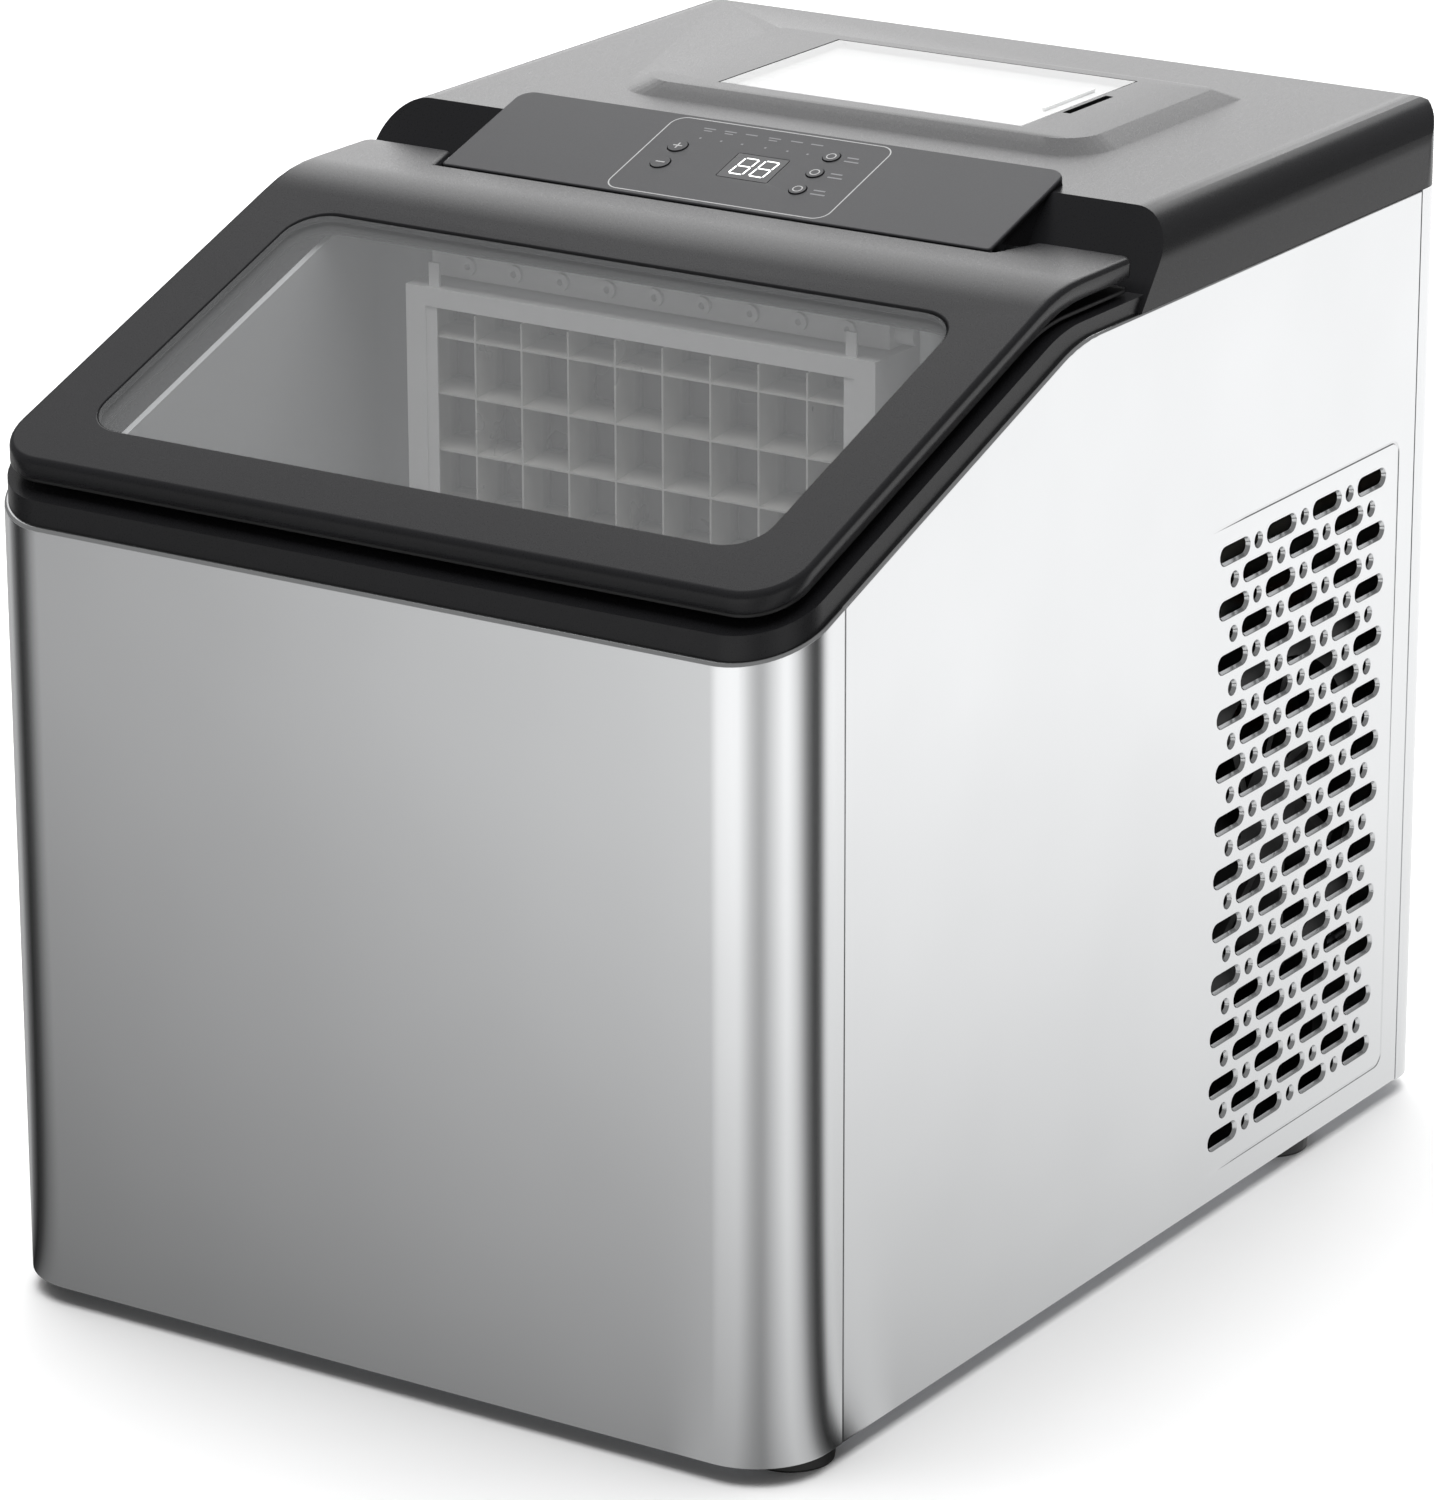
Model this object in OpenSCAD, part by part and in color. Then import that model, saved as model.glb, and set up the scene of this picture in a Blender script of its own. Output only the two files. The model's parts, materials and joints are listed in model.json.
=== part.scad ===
// Countertop ice maker with a sloping lid over the ice bin, a control panel behind it
// and a water tank that is filled from the top.
// X runs to the right, Y to the rear, Z up; the origin is on the table under the middle.

/* [Body] */
// Overall width
body_w = 265; // [240:1:330]
// Overall depth
body_d = 365; // [345:1:440]
// Height of the steel's top edge at the front
front_h = 230.6; // [205:0.1:290]
// Rise of the steel's sloping edge up to its level part
rise = 54.5; // [44:0.1:66]
// Slope of the lid and of the steel's edge, in degrees
slope = 20; // [18:1:24]
// Thickness of the steel sheet
sheet_t = 1; // [0.8:0.1:1.4]
// Plan radius of the steel's front corners
front_r = 22.5; // [12:0.5:28]
// Plan radius of the steel's rear corners
rear_r = 14.6; // [6:0.1:17]
// Side radius of the bend between the slope and the level part
bend_r = 53; // [30:1:65]
// Distance of the front seams behind the front
front_seam = 29.8; // [29:0.1:36]
// Distance of the rear seams ahead of the rear
rear_seam = 17.5; // [17.5:0.1:21]
// Width of the fold along the steel's top edge
edge_fold = 1.5; // [1:0.1:3]

/* [Feet] */
// Diameter of a foot
foot_d = 25.5; // [18:0.5:27]
// Height of a foot
foot_h = 5.5; // [4:0.5:10]
// Distance of the feet's centres from the sides
foot_side = 14.8; // [14.8:0.1:30]
// Distance of the front feet's centres from the front
foot_front = 27; // [27:1:50]
// Distance of the rear feet's centres from the rear
foot_rear = 71.5; // [30:0.5:90]

/* [Top cover] */
// Wall of the plastic mouldings
cover_t = 2.5; // [2:0.1:3]
// How far the rim stands in from the steel
rim_inset = 1.5; // [1:0.1:3]
// Plan radius of the rim's front corners
rim_r = 20; // [10:0.5:24]
// Height of the rim above the steel along the slope
rim_h = 6.9; // [5:0.1:9]
// Height of the rim above the steel on the level part
rim_level_h = 4.4; // [3.5:0.1:6]
// Height of the rear cap above the steel
cap_h = 24.8; // [22:0.1:30]
// Radius along the cap's long edges
cap_r = 13; // [6:0.5:16]
// Lean of the cap's front face from upright, in degrees
cap_lean = 38; // [20:1:45]
// Height of the raised pad on the cap
pad_h = 3.1; // [2.6:0.1:5]
// Half the width of the pad's top
pad_half = 75.4; // [66:0.1:90]
// Width of the pad's sloping sides
pad_slope = 7; // [3:0.1:9]
// Distance of the pad's top from the rear
pad_rear = 40.3; // [36:0.1:50]
// Distance of the pad's top behind the control panel
pad_front = 34.6; // [20:0.1:40]

/* [Lid] */
// How far the lid stands in from the steel
lid_inset = 3.3; // [2:0.1:5]
// Plan radius of the lid's front corners
lid_r = 16; // [8:0.5:20]
// Gap between the rim and the lid's edge on the slope
lid_gap = 4.4; // [4:0.1:6]
// Gap between the rim and the lid's edge on the level part
lid_level_gap = 2.4; // [2.4:0.1:4]
// Thickness of the lid's edge on the slope
lid_t = 6; // [6:0.1:9]
// Thickness of the lid's edge on the level part
lid_level_t = 8.6; // [8.4:0.1:11]
// Side radius of the lid's bend
lid_bend_r = 64; // [40:1:70]
// Length of the lid behind its bend
lid_level_run = 39.2; // [36:0.1:44]
// Skin of the lid's frame
lid_skin = 2.4; // [2:0.1:2.6]
// Thickness of the lid's inner frame
lid_inner_t = 1.4; // [1:0.1:1.6]
// Width of the lid's frame beside the window
window_side = 19.7; // [16:0.1:28]
// Width of the lid's frame ahead of the window, along the slope
window_front = 18.4; // [16:0.1:28]
// Width of the lid's frame behind the window, up to the bend
window_rear = 8.2; // [7:0.1:16]
// Radius of the window's corners
window_r = 12; // [4:0.5:16]
// Radius of the hinge pins
pin_r = 1.8; // [1.4:0.1:2]

/* [Control panel] */
// Width of the control panel's plate
panel_w = 184.2; // [170:0.1:190]
// Length of the plate along its own slope
panel_l = 44.3; // [42:0.1:50]
// Thickness of the plate
panel_t = 1.6; // [1.2:0.1:2]
// Tilt of the plate, in degrees
panel_tilt = 17.6; // [16:0.1:19]
// Diameter of the plus and minus buttons
step_button_d = 5.8; // [4:0.1:7]
// Diameter of the three mode buttons
mode_button_d = 5; // [4:0.1:7]
// Travel of a button
button_travel = 0.7; // [0.4:0.1:0.9]
// Width of the display's window
display_w = 17; // [14:0.5:24]
// Height of the display's window
display_l = 13; // [10:0.5:16]

/* [Tank] */
// Width of the tank's lid
tank_lid_w = 103; // [90:0.5:120]
// Thickness of the tank's lid
tank_lid_t = 2.5; // [2:0.1:3]
// Distance from the tank's lid to the front edge of the pad
tank_lid_front = 8.3; // [5:0.1:12]
// Distance from the tank's lid to the rear edge of the pad
tank_lid_rear = 5.5; // [5:0.1:12]
// Depth of the water tank
tank_depth = 112; // [90:1:118]

/* [Vents] */
// Columns of vents
vent_cols = 7; // [3:2:7]
// Rows of vents
vent_rows = 23; // [9:2:23]
// Distance between two columns
vent_col_step = 13.73; // [13:0.01:14.5]
// Distance between two rows
vent_row_step = 8.12; // [7.6:0.01:8.6]
// Length of a slot
vent_slot_l = 17.7; // [12:0.1:19]
// Width of a slot
vent_slot_w = 6.1; // [3:0.1:6.4]
// Diameter of a round vent
vent_hole_d = 5.2; // [3:0.1:5.6]
// Distance of the rearmost column from the rear
vent_rear = 44.2; // [42:0.1:50]
// Height of the lowest row
vent_low = 24; // [20:0.5:30]

/* [Ice bin] */
// Space from the evaporator's frame to the bin's side wall
bin_side_gap = 25.85; // [17:0.05:29]
// Wall of the bin's liner
bin_t = 2; // [1.5:0.1:3]
// Distance of the bin's front wall from the front
bin_front = 22.5; // [20:0.1:30]
// Height of the bin's floor
bin_floor_h = 42; // [38:1:50]
// Columns of ice cells
cell_cols = 9; // [5:1:11]
// Rows of ice cells
cell_rows = 5; // [3:1:5]
// Distance between two columns of cells
cell_w = 15.9; // [13:0.1:16.5]
// Distance between two rows of cells
cell_h = 16.7; // [13:0.1:17]
// Depth of a cell
cell_d = 15.4; // [12:0.1:17]
// Height of the ice basket
basket_h = 92; // [70:1:100]

/* [Cooling] */
// Radius of the compressor's shell
compressor_r = 47; // [40:0.5:52]
// Height of the compressor's shell
compressor_h = 128; // [100:1:140]
// Radius of the fan's blades
fan_r = 45; // [38:0.5:48]
// Number of the fan's blades
fan_blades = 7; // [5:1:9]
// Number of the condenser's fins
fin_count = 19; // [10:1:24]

/* [Hidden] */
$fn = 64;

// Clearances
fit_gap = 0.2;
moving_gap = 0.5;
running_gap = 0.05;
seam_gap = 0.4;
// Steps of an outline's bend
bend_steps = 12;
// How far cutting shapes run past the body
over = 30;

// Main planes of the body
half_w = body_w / 2;
front_y = -body_d / 2;
rear_y = body_d / 2;
level_h = front_h + rise;
front_seam_y = front_y + front_seam;
rear_seam_y = rear_y - rear_seam;

// Heights of the sloping lines at the front plane, and of their level parts
rim_line = [front_h + rim_h, level_h + rim_level_h];
lid_low_line = rim_line + [lid_gap, lid_level_gap];
lid_top_line = lid_low_line + [lid_t, lid_level_t];
steel_line = [front_h, level_h];
deck_h = rim_line[1];
cap_top = level_h + cap_h;
pad_top = cap_top + pad_h;

// Lid, hinge and control panel
lid_bend_y = front_y + (lid_top_line[1] - lid_top_line[0]) / tan(slope);
lid_front_y = front_y + lid_inset;
lid_half = half_w - lid_inset;
lid_rear_y = lid_bend_y + lid_level_run;
hinge_y = lid_rear_y - 4;
hinge_h = lid_top_line[1] - 3;
cap_foot_y = lid_rear_y + 2;
panel_front_y = hinge_y - 11.4;
panel_front_h = lid_top_line[1] + 0.1;
panel_rear_y = panel_front_y + panel_l * cos(panel_tilt);
notch_y = panel_front_y - 0.9;
notch_half = panel_w / 2 + 0.9;
notch_flare = 5.5;
housing_half = panel_w / 2 - 1.2;
housing_wall = 2;
ear_w = 6;
lip_inset = 1.2;
seal_w = 4;
seal_t = 0.8;
collar_gap = 0.4;
collar_inset = 14;
pane_sink = 0.3;
pane_flange = 3;
pane_flange_t = 1.2;

// Window, measured along the slope from the lid's front edge
window_half = lid_half - window_side;
slope_run = (lid_bend_y - lid_bend_r * tan(slope / 2) - lid_front_y) / cos(slope);
window_len = slope_run - window_front - window_rear;

// Pad and tank
pad_y0 = panel_rear_y + pad_front;
pad_y1 = rear_y - pad_rear;
tank_lid_y0 = pad_y0 + tank_lid_front;
tank_lid_y1 = pad_y1 - tank_lid_rear;
tank_lid_half = tank_lid_w / 2;
tank_lid_gap = 0.5;
tank_ledge = 5;
tank_axle_x = -tank_lid_half + 2;
tank_axle_h = pad_top - tank_lid_t / 2;
tank_axle_r = 0.9;
tank_axle_l = 1.5;
tank_wall = 2;
tank_half = tank_lid_half + tank_lid_gap + tank_wall + 2;
tank_y0 = tank_lid_y0 - tank_lid_gap - tank_wall - 2;
tank_y1 = tank_lid_y1 + tank_lid_gap + tank_wall + 2;
tank_top = cap_top - cover_t - fit_gap;
latch_l = 29;
latch_y = (tank_lid_y0 + tank_lid_y1) / 2;

// Base pan and feet
pan_t = 1.2;
pan_h = 14;
pan_inset = sheet_t + fit_gap;
pan_top = foot_h + pan_t;
foot_places = [for (s = [-1, 1], y = [front_y + foot_front, rear_y - foot_rear])
    [s * (half_w - foot_side), y]];
foot_screw_r = 2;
foot_recess_r = 5;
foot_recess_h = 3;

// Bin, evaporator and water circuit
bin_y0 = front_y + bin_front;
bin_y1 = lid_rear_y - 20.2;
bin_r = 10;
bin_flange = 8;
foam_rear_y = bin_y1 + bin_t + 12;
grid_front_y = bin_y1 - 32.5;
grid_half = cell_w * cell_cols / 2;
frame_half = grid_half + 7;
bin_half = frame_half + bin_side_gap;
frame_top = level_h - 9.9;
frame_inside_top = frame_top - 5.7;
shelf_top = frame_inside_top - 8.9;
shelf_low = shelf_top - cell_rows * cell_h;
frame_low = shelf_low - 12;
shelf_rise = 1.5;
plate_t = 0.6;
back_plate_y = grid_front_y + cell_d;
coil_r = 4;
coil_y = back_plate_y + 1 + coil_r + fit_gap;
coil_half = grid_half - 14;
coil_runs = cell_rows;
coil_x = grid_half - 14;
bar_low = frame_top + 0.8;
bar_h = 7.5;
bar_y0 = grid_front_y + 10.5;
bar_d = 11;
bar_half = frame_half - 2;
cell_places = [for (i = [0:cell_cols - 1]) (i - (cell_cols - 1) / 2) * cell_w];
basket_y0 = bin_y0 + 8;
basket_y1 = grid_front_y - 9;
basket_half = bin_half - 7;
basket_low = bin_floor_h + 18;
basket_t = 2;
ledge_d = 14;
pump_x = 62;
pump_y = bin_y1 - 20;
pump_r = 15;
hose_r = 4;
hose_x = frame_half + 9;
hose_y = bar_y0 + bar_d / 2;
drain_x = 16;
drain_h = 27;
drain_r = 5;
sensor_y = bin_y0 + 46;
sensor_h = basket_low + basket_h + 14;
sensor_r = 4;
tank_hose_x = -12;
tank_low = tank_top - tank_depth;
tank_hose_y = tank_y0 + 23;
spigot_l = 8;
spigot_r = hose_r - 1;
tank_hose_end_h = frame_low - 20;

// Vents and fan
vent_y1 = rear_y - vent_rear;
vent_y0 = vent_y1 - (vent_cols - 1) * vent_col_step;
vent_mid_y = (vent_y0 + vent_y1) / 2;
vent_mid_h = vent_low + (vent_rows - 1) * vent_row_step / 2;
fan_x = half_w - sheet_t - 12;
fan_gap = 1.5;
shroud_d = 10;
shroud_wall = 3;
shroud_half = fan_r + fan_gap + shroud_wall;
fan_h = foot_h + pan_t + shroud_half + 55;
motor_r = 16;
motor_l = 24;
shaft_r = 2;
hub_r = 17;
hub_l = 8;
spoke_t = 3;

// Compressor and condenser
compressor_x = -half_w + 70;
compressor_y = rear_y - 84;
compressor_wall = 4;
compressor_low = pan_top + 10;
mount_r = 9;
mount_reach = compressor_r + 4;
condenser_x0 = fan_x - 82;
condenser_d = 34;
condenser_low = pan_top + 40;
condenser_h = 2 * shroud_half;
condenser_len = 92;
condenser_y0 = vent_mid_y - condenser_len / 2;
tube_r = 3.5;
tube_rows = 5;
tube_step = condenser_h / tube_rows;
fin_t = 0.5;
fin_step = (condenser_len - fin_t) / (fin_count - 1);

// Service cup in the rear
cup_x0 = drain_x - 20;
cup_w = 78;
cup_low = 14;
cup_h = 34;
cup_d = 20;
cup_t = 1.5;
gland_x = drain_x + 34;
gland_r = 8;
rear_screws = concat(
    [for (x = [-100, 100], h = [40, 150, 262]) [x, h]],
    [for (x = [-38, 38], h = [262]) [x, h]]);
screw_r = 1.5;
screw_head_r = 3;
screw_head_h = 1.5;

// ---------- shared shapes ----------

// Plan rectangle with its own front and rear corner radii
module plan(half, y0, y1, r0, r1) {
    translate([-half, y0 + r0]) square([2 * half, y1 - y0 - r0 - r1]);
    translate([-half + r0, y0]) square([2 * (half - r0), y1 - y0 - r1]);
    translate([-half + r1, y0 + r0]) square([2 * (half - r1), y1 - y0 - r0]);
    for (s = [-1, 1]) {
        translate([s * (half - r0), y0 + r0]) circle(r0);
        translate([s * (half - r1), y1 - r1]) circle(r1);
    }
}

// The steel's plan outline, moved in by a distance
module body_plan(inset) {
    plan(half_w - inset, front_y + inset, rear_y - inset,
        max(front_r - inset, 1), max(rear_r - inset, 1));
}

// Plan outline of the rim at the front, square behind
module rim_plan(inset) {
    plan(half_w - rim_inset - inset, front_y + rim_inset + inset, rear_seam_y,
        max(rim_r - inset, 1), 1);
}

// The lid's plan outline, moved in by a distance
module lid_plan(inset) {
    plan(lid_half - inset, lid_front_y + inset, lid_rear_y - inset, max(lid_r - inset, 1), 2);
}

// Side outline of all that lies under a line: up the slope, round the bend, then level
function under_points(line, r) = let (
    meet = front_y + (line[1] - line[0]) / tan(slope),
    run = r * tan(slope / 2))
    concat(
        [[front_y - over, -over], [front_y - over, line[0] - over * tan(slope)]],
        [for (i = [0:bend_steps]) let (a = 90 + slope * (1 - i / bend_steps))
            [meet + run + r * cos(a), line[1] - r + r * sin(a)]],
        [[rear_y + over, line[1]], [rear_y + over, -over]]);

// Extrudes a side outline, given as depth and height, across the body's whole width
module across(width = body_w + over) {
    rotate([90, 0, 90]) linear_extrude(width, center = true) children();
}

module under(line, r = bend_r) {
    across() polygon(under_points(line, r));
}

// What lies between two lines
module between(low, high, r = bend_r) {
    difference() {
        under(high, r);
        under(low, r);
    }
}

// Extrudes a plan outline from the floor to well above the body
module column(from = 0) {
    translate([0, 0, from]) linear_extrude(cap_top + over - from) children();
}

// A block from its low corner to its high corner
module block(low, high) {
    translate(low) cube(high - low);
}

// A block across the body from one depth to another
module slab(y0, y1) {
    block([-half_w - over, y0, -over], [half_w + over, y1, cap_top + over]);
}

// Round bar from one point to another
module rod(p, q, r) {
    d = q - p;
    translate(p) rotate([0, acos(d[2] / norm(d)), atan2(d[1], d[0])]) cylinder(r = r, h = norm(d));
}

// Bent pipe through a list of points
module pipe(points, r) {
    for (i = [0:len(points) - 2]) rod(points[i], points[i + 1], r);
    for (i = [1:len(points) - 2]) translate(points[i]) sphere(r * 1.02);
}

// Frame of the lid's slope: X across, Y up the slope, Z out of the surface
module on_slope() {
    translate([0, lid_front_y, lid_top_line[0] + lid_inset * tan(slope)]) rotate([slope, 0, 0])
        children();
}

// Frame of the control panel: Y up the plate, Z out of it
module on_panel() {
    translate([0, panel_front_y, panel_front_h]) rotate([panel_tilt, 0, 0]) children();
}

// Plate whose outline has rounded corners, from one height to another
module rounded(half, y0, y1, r, low, high) {
    translate([0, 0, low]) linear_extrude(high - low) plan(half, y0, y1, r, r);
}

// ---------- casing ----------

// Sheet casing from one depth to another, with its fold along the top edge
module casing(y0, y1) {
    intersection() {
        under(steel_line);
        slab(y0, y1);
        union() {
            column(foot_h) difference() {
                body_plan(0);
                body_plan(sheet_t);
            }
            intersection() {
                between(steel_line - [sheet_t / cos(slope), sheet_t], steel_line + [1, 1]);
                column(foot_h) difference() {
                    body_plan(0);
                    body_plan(sheet_t + edge_fold);
                }
            }
        }
    }
}

// Pattern of slots and round holes, given as depth and height
module vents() {
    for (row = [0:vent_rows - 1], col = [0:vent_cols - 1])
        translate([vent_y0 + col * vent_col_step, vent_low + row * vent_row_step]) {
            if ((row + col) % 2 == 0) {
                square([vent_slot_l - vent_slot_w, vent_slot_w], center = true);
                for (s = [-1, 1]) translate([s * (vent_slot_l - vent_slot_w) / 2, 0])
                    circle(d = vent_slot_w, $fn = 24);
            }
            else circle(d = vent_hole_d, $fn = 24);
        }
}

// Right side panel; the left one is its mirror image
module side_panel() {
    y0 = front_seam_y + seam_gap / 2;
    y1 = rear_seam_y - seam_gap / 2;
    translate([half_w - sheet_t, 0, 0]) rotate([90, 0, 90]) linear_extrude(sheet_t) difference() {
        intersection() {
            polygon(under_points(steel_line, bend_r));
            translate([y0, foot_h]) square([y1 - y0, cap_top]);
        }
        vents();
    }
    intersection() {
        between(steel_line - [sheet_t / cos(slope), sheet_t], steel_line);
        block([half_w - sheet_t - edge_fold, y0, foot_h], [half_w - sheet_t, y1, cap_top]);
    }
}

module front_panel() {
    color("silver") casing(front_y - over, front_seam_y - seam_gap / 2);
}

module right_panel() {
    color("gainsboro") side_panel();
}

module left_panel() {
    color("gainsboro") mirror([1, 0, 0]) side_panel();
}

// Countersunk screw whose head is flush with a plane that faces +Z
module flush_screw(length, gap = 0) {
    translate([0, 0, -screw_head_h])
        cylinder(h = screw_head_h, r1 = screw_r + gap, r2 = screw_head_r + gap);
    translate([0, 0, -length]) cylinder(h = length - screw_head_h / 2, r = screw_r + gap);
}

module at_rear_screws() {
    for (p = rear_screws) translate([p[0], rear_y, p[1]]) rotate([-90, 0, 0]) children();
}

module rear_panel() {
    color("silver") difference() {
        casing(rear_seam_y + seam_gap / 2, rear_y + over);
        at_rear_screws() flush_screw(8, fit_gap / 2);
        block([cup_x0, rear_y - cup_d, cup_low], [cup_x0 + cup_w, rear_y + over, cup_low + cup_h]);
    }
}

// Countersunk cross-head screws of the rear panel
module panel_screws() {
    color("dimgray") at_rear_screws() difference() {
        flush_screw(8);
        for (turn = [0, 90]) rotate(turn) cube([3.4, 0.7, 1.6], center = true);
    }
}

// Recessed cup in the rear for the drain and the cord's gland
module service_cup() {
    color("#2b2b2b") difference() {
        union() {
            block([cup_x0 + fit_gap, rear_y - cup_d, cup_low + fit_gap],
                [cup_x0 + cup_w - fit_gap, rear_y - fit_gap, cup_low + cup_h - fit_gap]);
            block([cup_x0 - 5, rear_y - sheet_t - 2, cup_low - 4],
                [cup_x0 + cup_w + 5, rear_y - sheet_t - fit_gap, cup_low + cup_h + 5]);
        }
        block([cup_x0 + fit_gap + cup_t, rear_y - cup_d + cup_t, cup_low + fit_gap + cup_t],
            [cup_x0 + cup_w - fit_gap - cup_t, rear_y + over, cup_low + cup_h - fit_gap - cup_t]);
        for (x = [drain_x, gland_x]) translate([x, rear_y, drain_h]) rotate([90, 0, 0])
            cylinder(h = cup_d + over, r = (x == drain_x ? drain_r : gland_r) + fit_gap / 2);
    }
}

module base_pan() {
    color("darkgray") difference() {
        translate([0, 0, foot_h]) linear_extrude(pan_h) body_plan(pan_inset);
        translate([0, 0, pan_top]) linear_extrude(pan_h) body_plan(pan_inset + pan_t);
        for (p = foot_places) translate([p[0], p[1], 0])
            cylinder(h = pan_top + over, r = foot_screw_r + running_gap);
        block([cup_x0 - 6, rear_y - cup_d - 1, cup_low - 5], [cup_x0 + cup_w + 6, rear_y, over]);
    }
}

module feet() {
    color("#1c1c1c") for (p = foot_places) translate([p[0], p[1], 0]) difference() {
        cylinder(h = foot_h, d1 = foot_d - 1.5, d2 = foot_d);
        cylinder(h = foot_h + over, r = foot_screw_r + running_gap);
        translate([0, 0, -over]) cylinder(h = foot_recess_h + over, r = foot_recess_r);
    }
}

module foot_screws() {
    color("lightgray") for (p = foot_places) translate([p[0], p[1], foot_recess_h]) {
        translate([0, 0, -2]) cylinder(h = 2, r = foot_recess_r - 1);
        cylinder(h = foot_h + pan_t + 3 - foot_recess_h, r = foot_screw_r);
    }
}

// ---------- top cover ----------

// Outline of the cap seen from the front, moved in by a distance
module cap_front_outline(inset) {
    half = half_w - 0.1 - inset;
    r = cap_r - inset;
    top = cap_top - inset;
    translate([-half, level_h]) square([2 * half, top - r - level_h]);
    translate([-half + r, level_h]) square([2 * (half - r), top - level_h]);
    for (s = [-1, 1]) translate([s * (half - r), top - r]) circle(r);
}

// Outline of the cap seen from the side, moved in by a distance
module cap_side_outline(inset) {
    r = 6 - inset;
    top = cap_top - inset;
    shift = inset / cos(cap_lean);
    lean = tan(cap_lean);
    foot = cap_foot_y + shift;
    end = rear_y - 0.3 - inset;
    polygon([[foot + (level_h - deck_h) * lean, level_h], [foot + (top - deck_h) * lean, top],
        [end - r, top], [end - r, level_h]]);
    translate([end - r, level_h]) square([r, top - r - level_h]);
    translate([end - r, top - r]) circle(r);
}

module cap_solid(inset, low) {
    intersection() {
        rotate([90, 0, 0]) linear_extrude(body_d + over, center = true) cap_front_outline(inset);
        across() cap_side_outline(inset);
        column(low) body_plan(0.1 + inset);
    }
}

// Raised pad with sloping sides
module pad() {
    hull() {
        translate([0, 0, cap_top - 1]) linear_extrude(1)
            plan(pad_half + pad_slope, pad_y0 - pad_slope, pad_y1 + pad_slope, 16, 5, $fn = 32);
        translate([0, 0, pad_top - 0.2]) linear_extrude(0.2)
            plan(pad_half, pad_y0, pad_y1, 12, 3, $fn = 32);
    }
}

// Box under the control panel's plate, moved in by a distance
module panel_housing(inset, low) {
    intersection() {
        on_panel() block([-housing_half + inset, 2.2 + inset, -60],
            [housing_half - inset, panel_l - 2 - inset, -panel_t]);
        block([-half_w, front_y, low], [half_w, rear_y, pad_top + over]);
    }
}

// Plan outline of the bin's mouth, moved out by a distance
module bin_plan(grow) {
    plan(bin_half + grow, bin_y0 - grow, bin_y1 + grow, bin_r + grow, bin_r + grow);
}

module top_cover() {
    color("#303032") difference() {
        union() {
            // Rim and deck round the bin's mouth
            intersection() {
                between(steel_line, rim_line);
                column(foot_h) rim_plan(0);
                slab(front_y, cap_foot_y + cover_t);
                difference() {
                    under(rim_line + [1, 1]);
                    intersection() {
                        under(rim_line - [cover_t, cover_t]);
                        column() rim_plan(cover_t);
                        slab(front_y, cap_foot_y - cover_t);
                    }
                }
            }
            // Collar round the bin's mouth
            intersection() {
                between(rim_line - [cover_t, cover_t],
                    lid_low_line - [1, 1] * (lid_inner_t + seal_t + collar_gap));
                column() difference() {
                    rim_plan(collar_inset);
                    rim_plan(collar_inset + cover_t);
                }
                slab(front_y, bin_y1);
            }
            // Cap, with its inside open to the compartment below
            difference() {
                cap_solid(0, level_h);
                cap_solid(cover_t, level_h - 1);
            }
            pad();
            difference() {
                panel_housing(0, deck_h - cover_t);
                cap_solid(cover_t, level_h - 1);
            }
            // Strips that take the rear panel's upper screws
            for (x = [-100, -38, 38, 100]) {
                y = rear_y - sheet_t - edge_fold - fit_gap;
                block([x - 8, y - cover_t, level_h - 30], [x + 8, y, level_h + 8]);
                block([x - 8, y - cover_t, level_h + 0.5], [x + 8, rear_y - 1, level_h + 8]);
            }
        }
        // Mouth of the bin
        column() bin_plan(bin_t + fit_gap);
        // Seat of the control panel's plate
        on_panel() block([-panel_w / 2 - fit_gap, -1, -panel_t],
            [panel_w / 2 + fit_gap, panel_l + fit_gap, over]);
        // Inside of the panel's housing, between the two ears of the hinge
        intersection() {
            panel_housing(housing_wall, deck_h - cover_t - 1);
            block([-housing_half + ear_w, front_y, level_h], [housing_half - ear_w, rear_y, pad_top]);
        }
        translate([0, hinge_y, hinge_h]) rotate([0, 90, 0])
            cylinder(h = body_w, r = pin_r + 0.01, center = true);
        // Seat and mouth of the tank's lid
        block([-tank_lid_half - tank_lid_gap, tank_lid_y0 - tank_lid_gap,
            pad_top - tank_lid_t - fit_gap],
            [tank_lid_half + tank_lid_gap, tank_lid_y1 + tank_lid_gap, pad_top + over]);
        block([-tank_lid_half - tank_lid_gap, tank_lid_y0 + tank_ledge, level_h],
            [tank_lid_half - tank_ledge, tank_lid_y1 - tank_ledge, pad_top + over]);
        block([-tank_lid_half - tank_lid_gap, tank_lid_y0 - tank_lid_gap, level_h],
            [-tank_lid_half + tank_ledge, tank_lid_y1 + tank_lid_gap, pad_top + over]);
        for (y = [tank_lid_y0, tank_lid_y1]) translate([tank_axle_x, y, tank_axle_h])
            rotate([90, 0, 0])
            cylinder(h = 2 * (tank_axle_l + 0.4), r = tank_axle_r + running_gap, center = true);
        // Finger slot beside the tank's lid
        block([tank_lid_half + 1.7, latch_y - 12.5, pad_top - 3],
            [tank_lid_half + 4.3, latch_y + 12.5, pad_top + over]);
        at_rear_screws() flush_screw(8, fit_gap / 2);
    }
}

// ---------- lid ----------

// Space in the lid's rear edge for the control panel
module lid_notch() {
    column() polygon([[-notch_half, notch_y], [notch_half, notch_y],
        [notch_half + notch_flare, lid_rear_y + 1], [-notch_half - notch_flare, lid_rear_y + 1]]);
}

module hinge_pins() {
    color("lightgray") for (s = [-1, 1]) translate([s * (housing_half - ear_w / 2), hinge_y, hinge_h])
        rotate([0, s * 90, 0]) cylinder(h = 22, r = pin_r);
}

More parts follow.
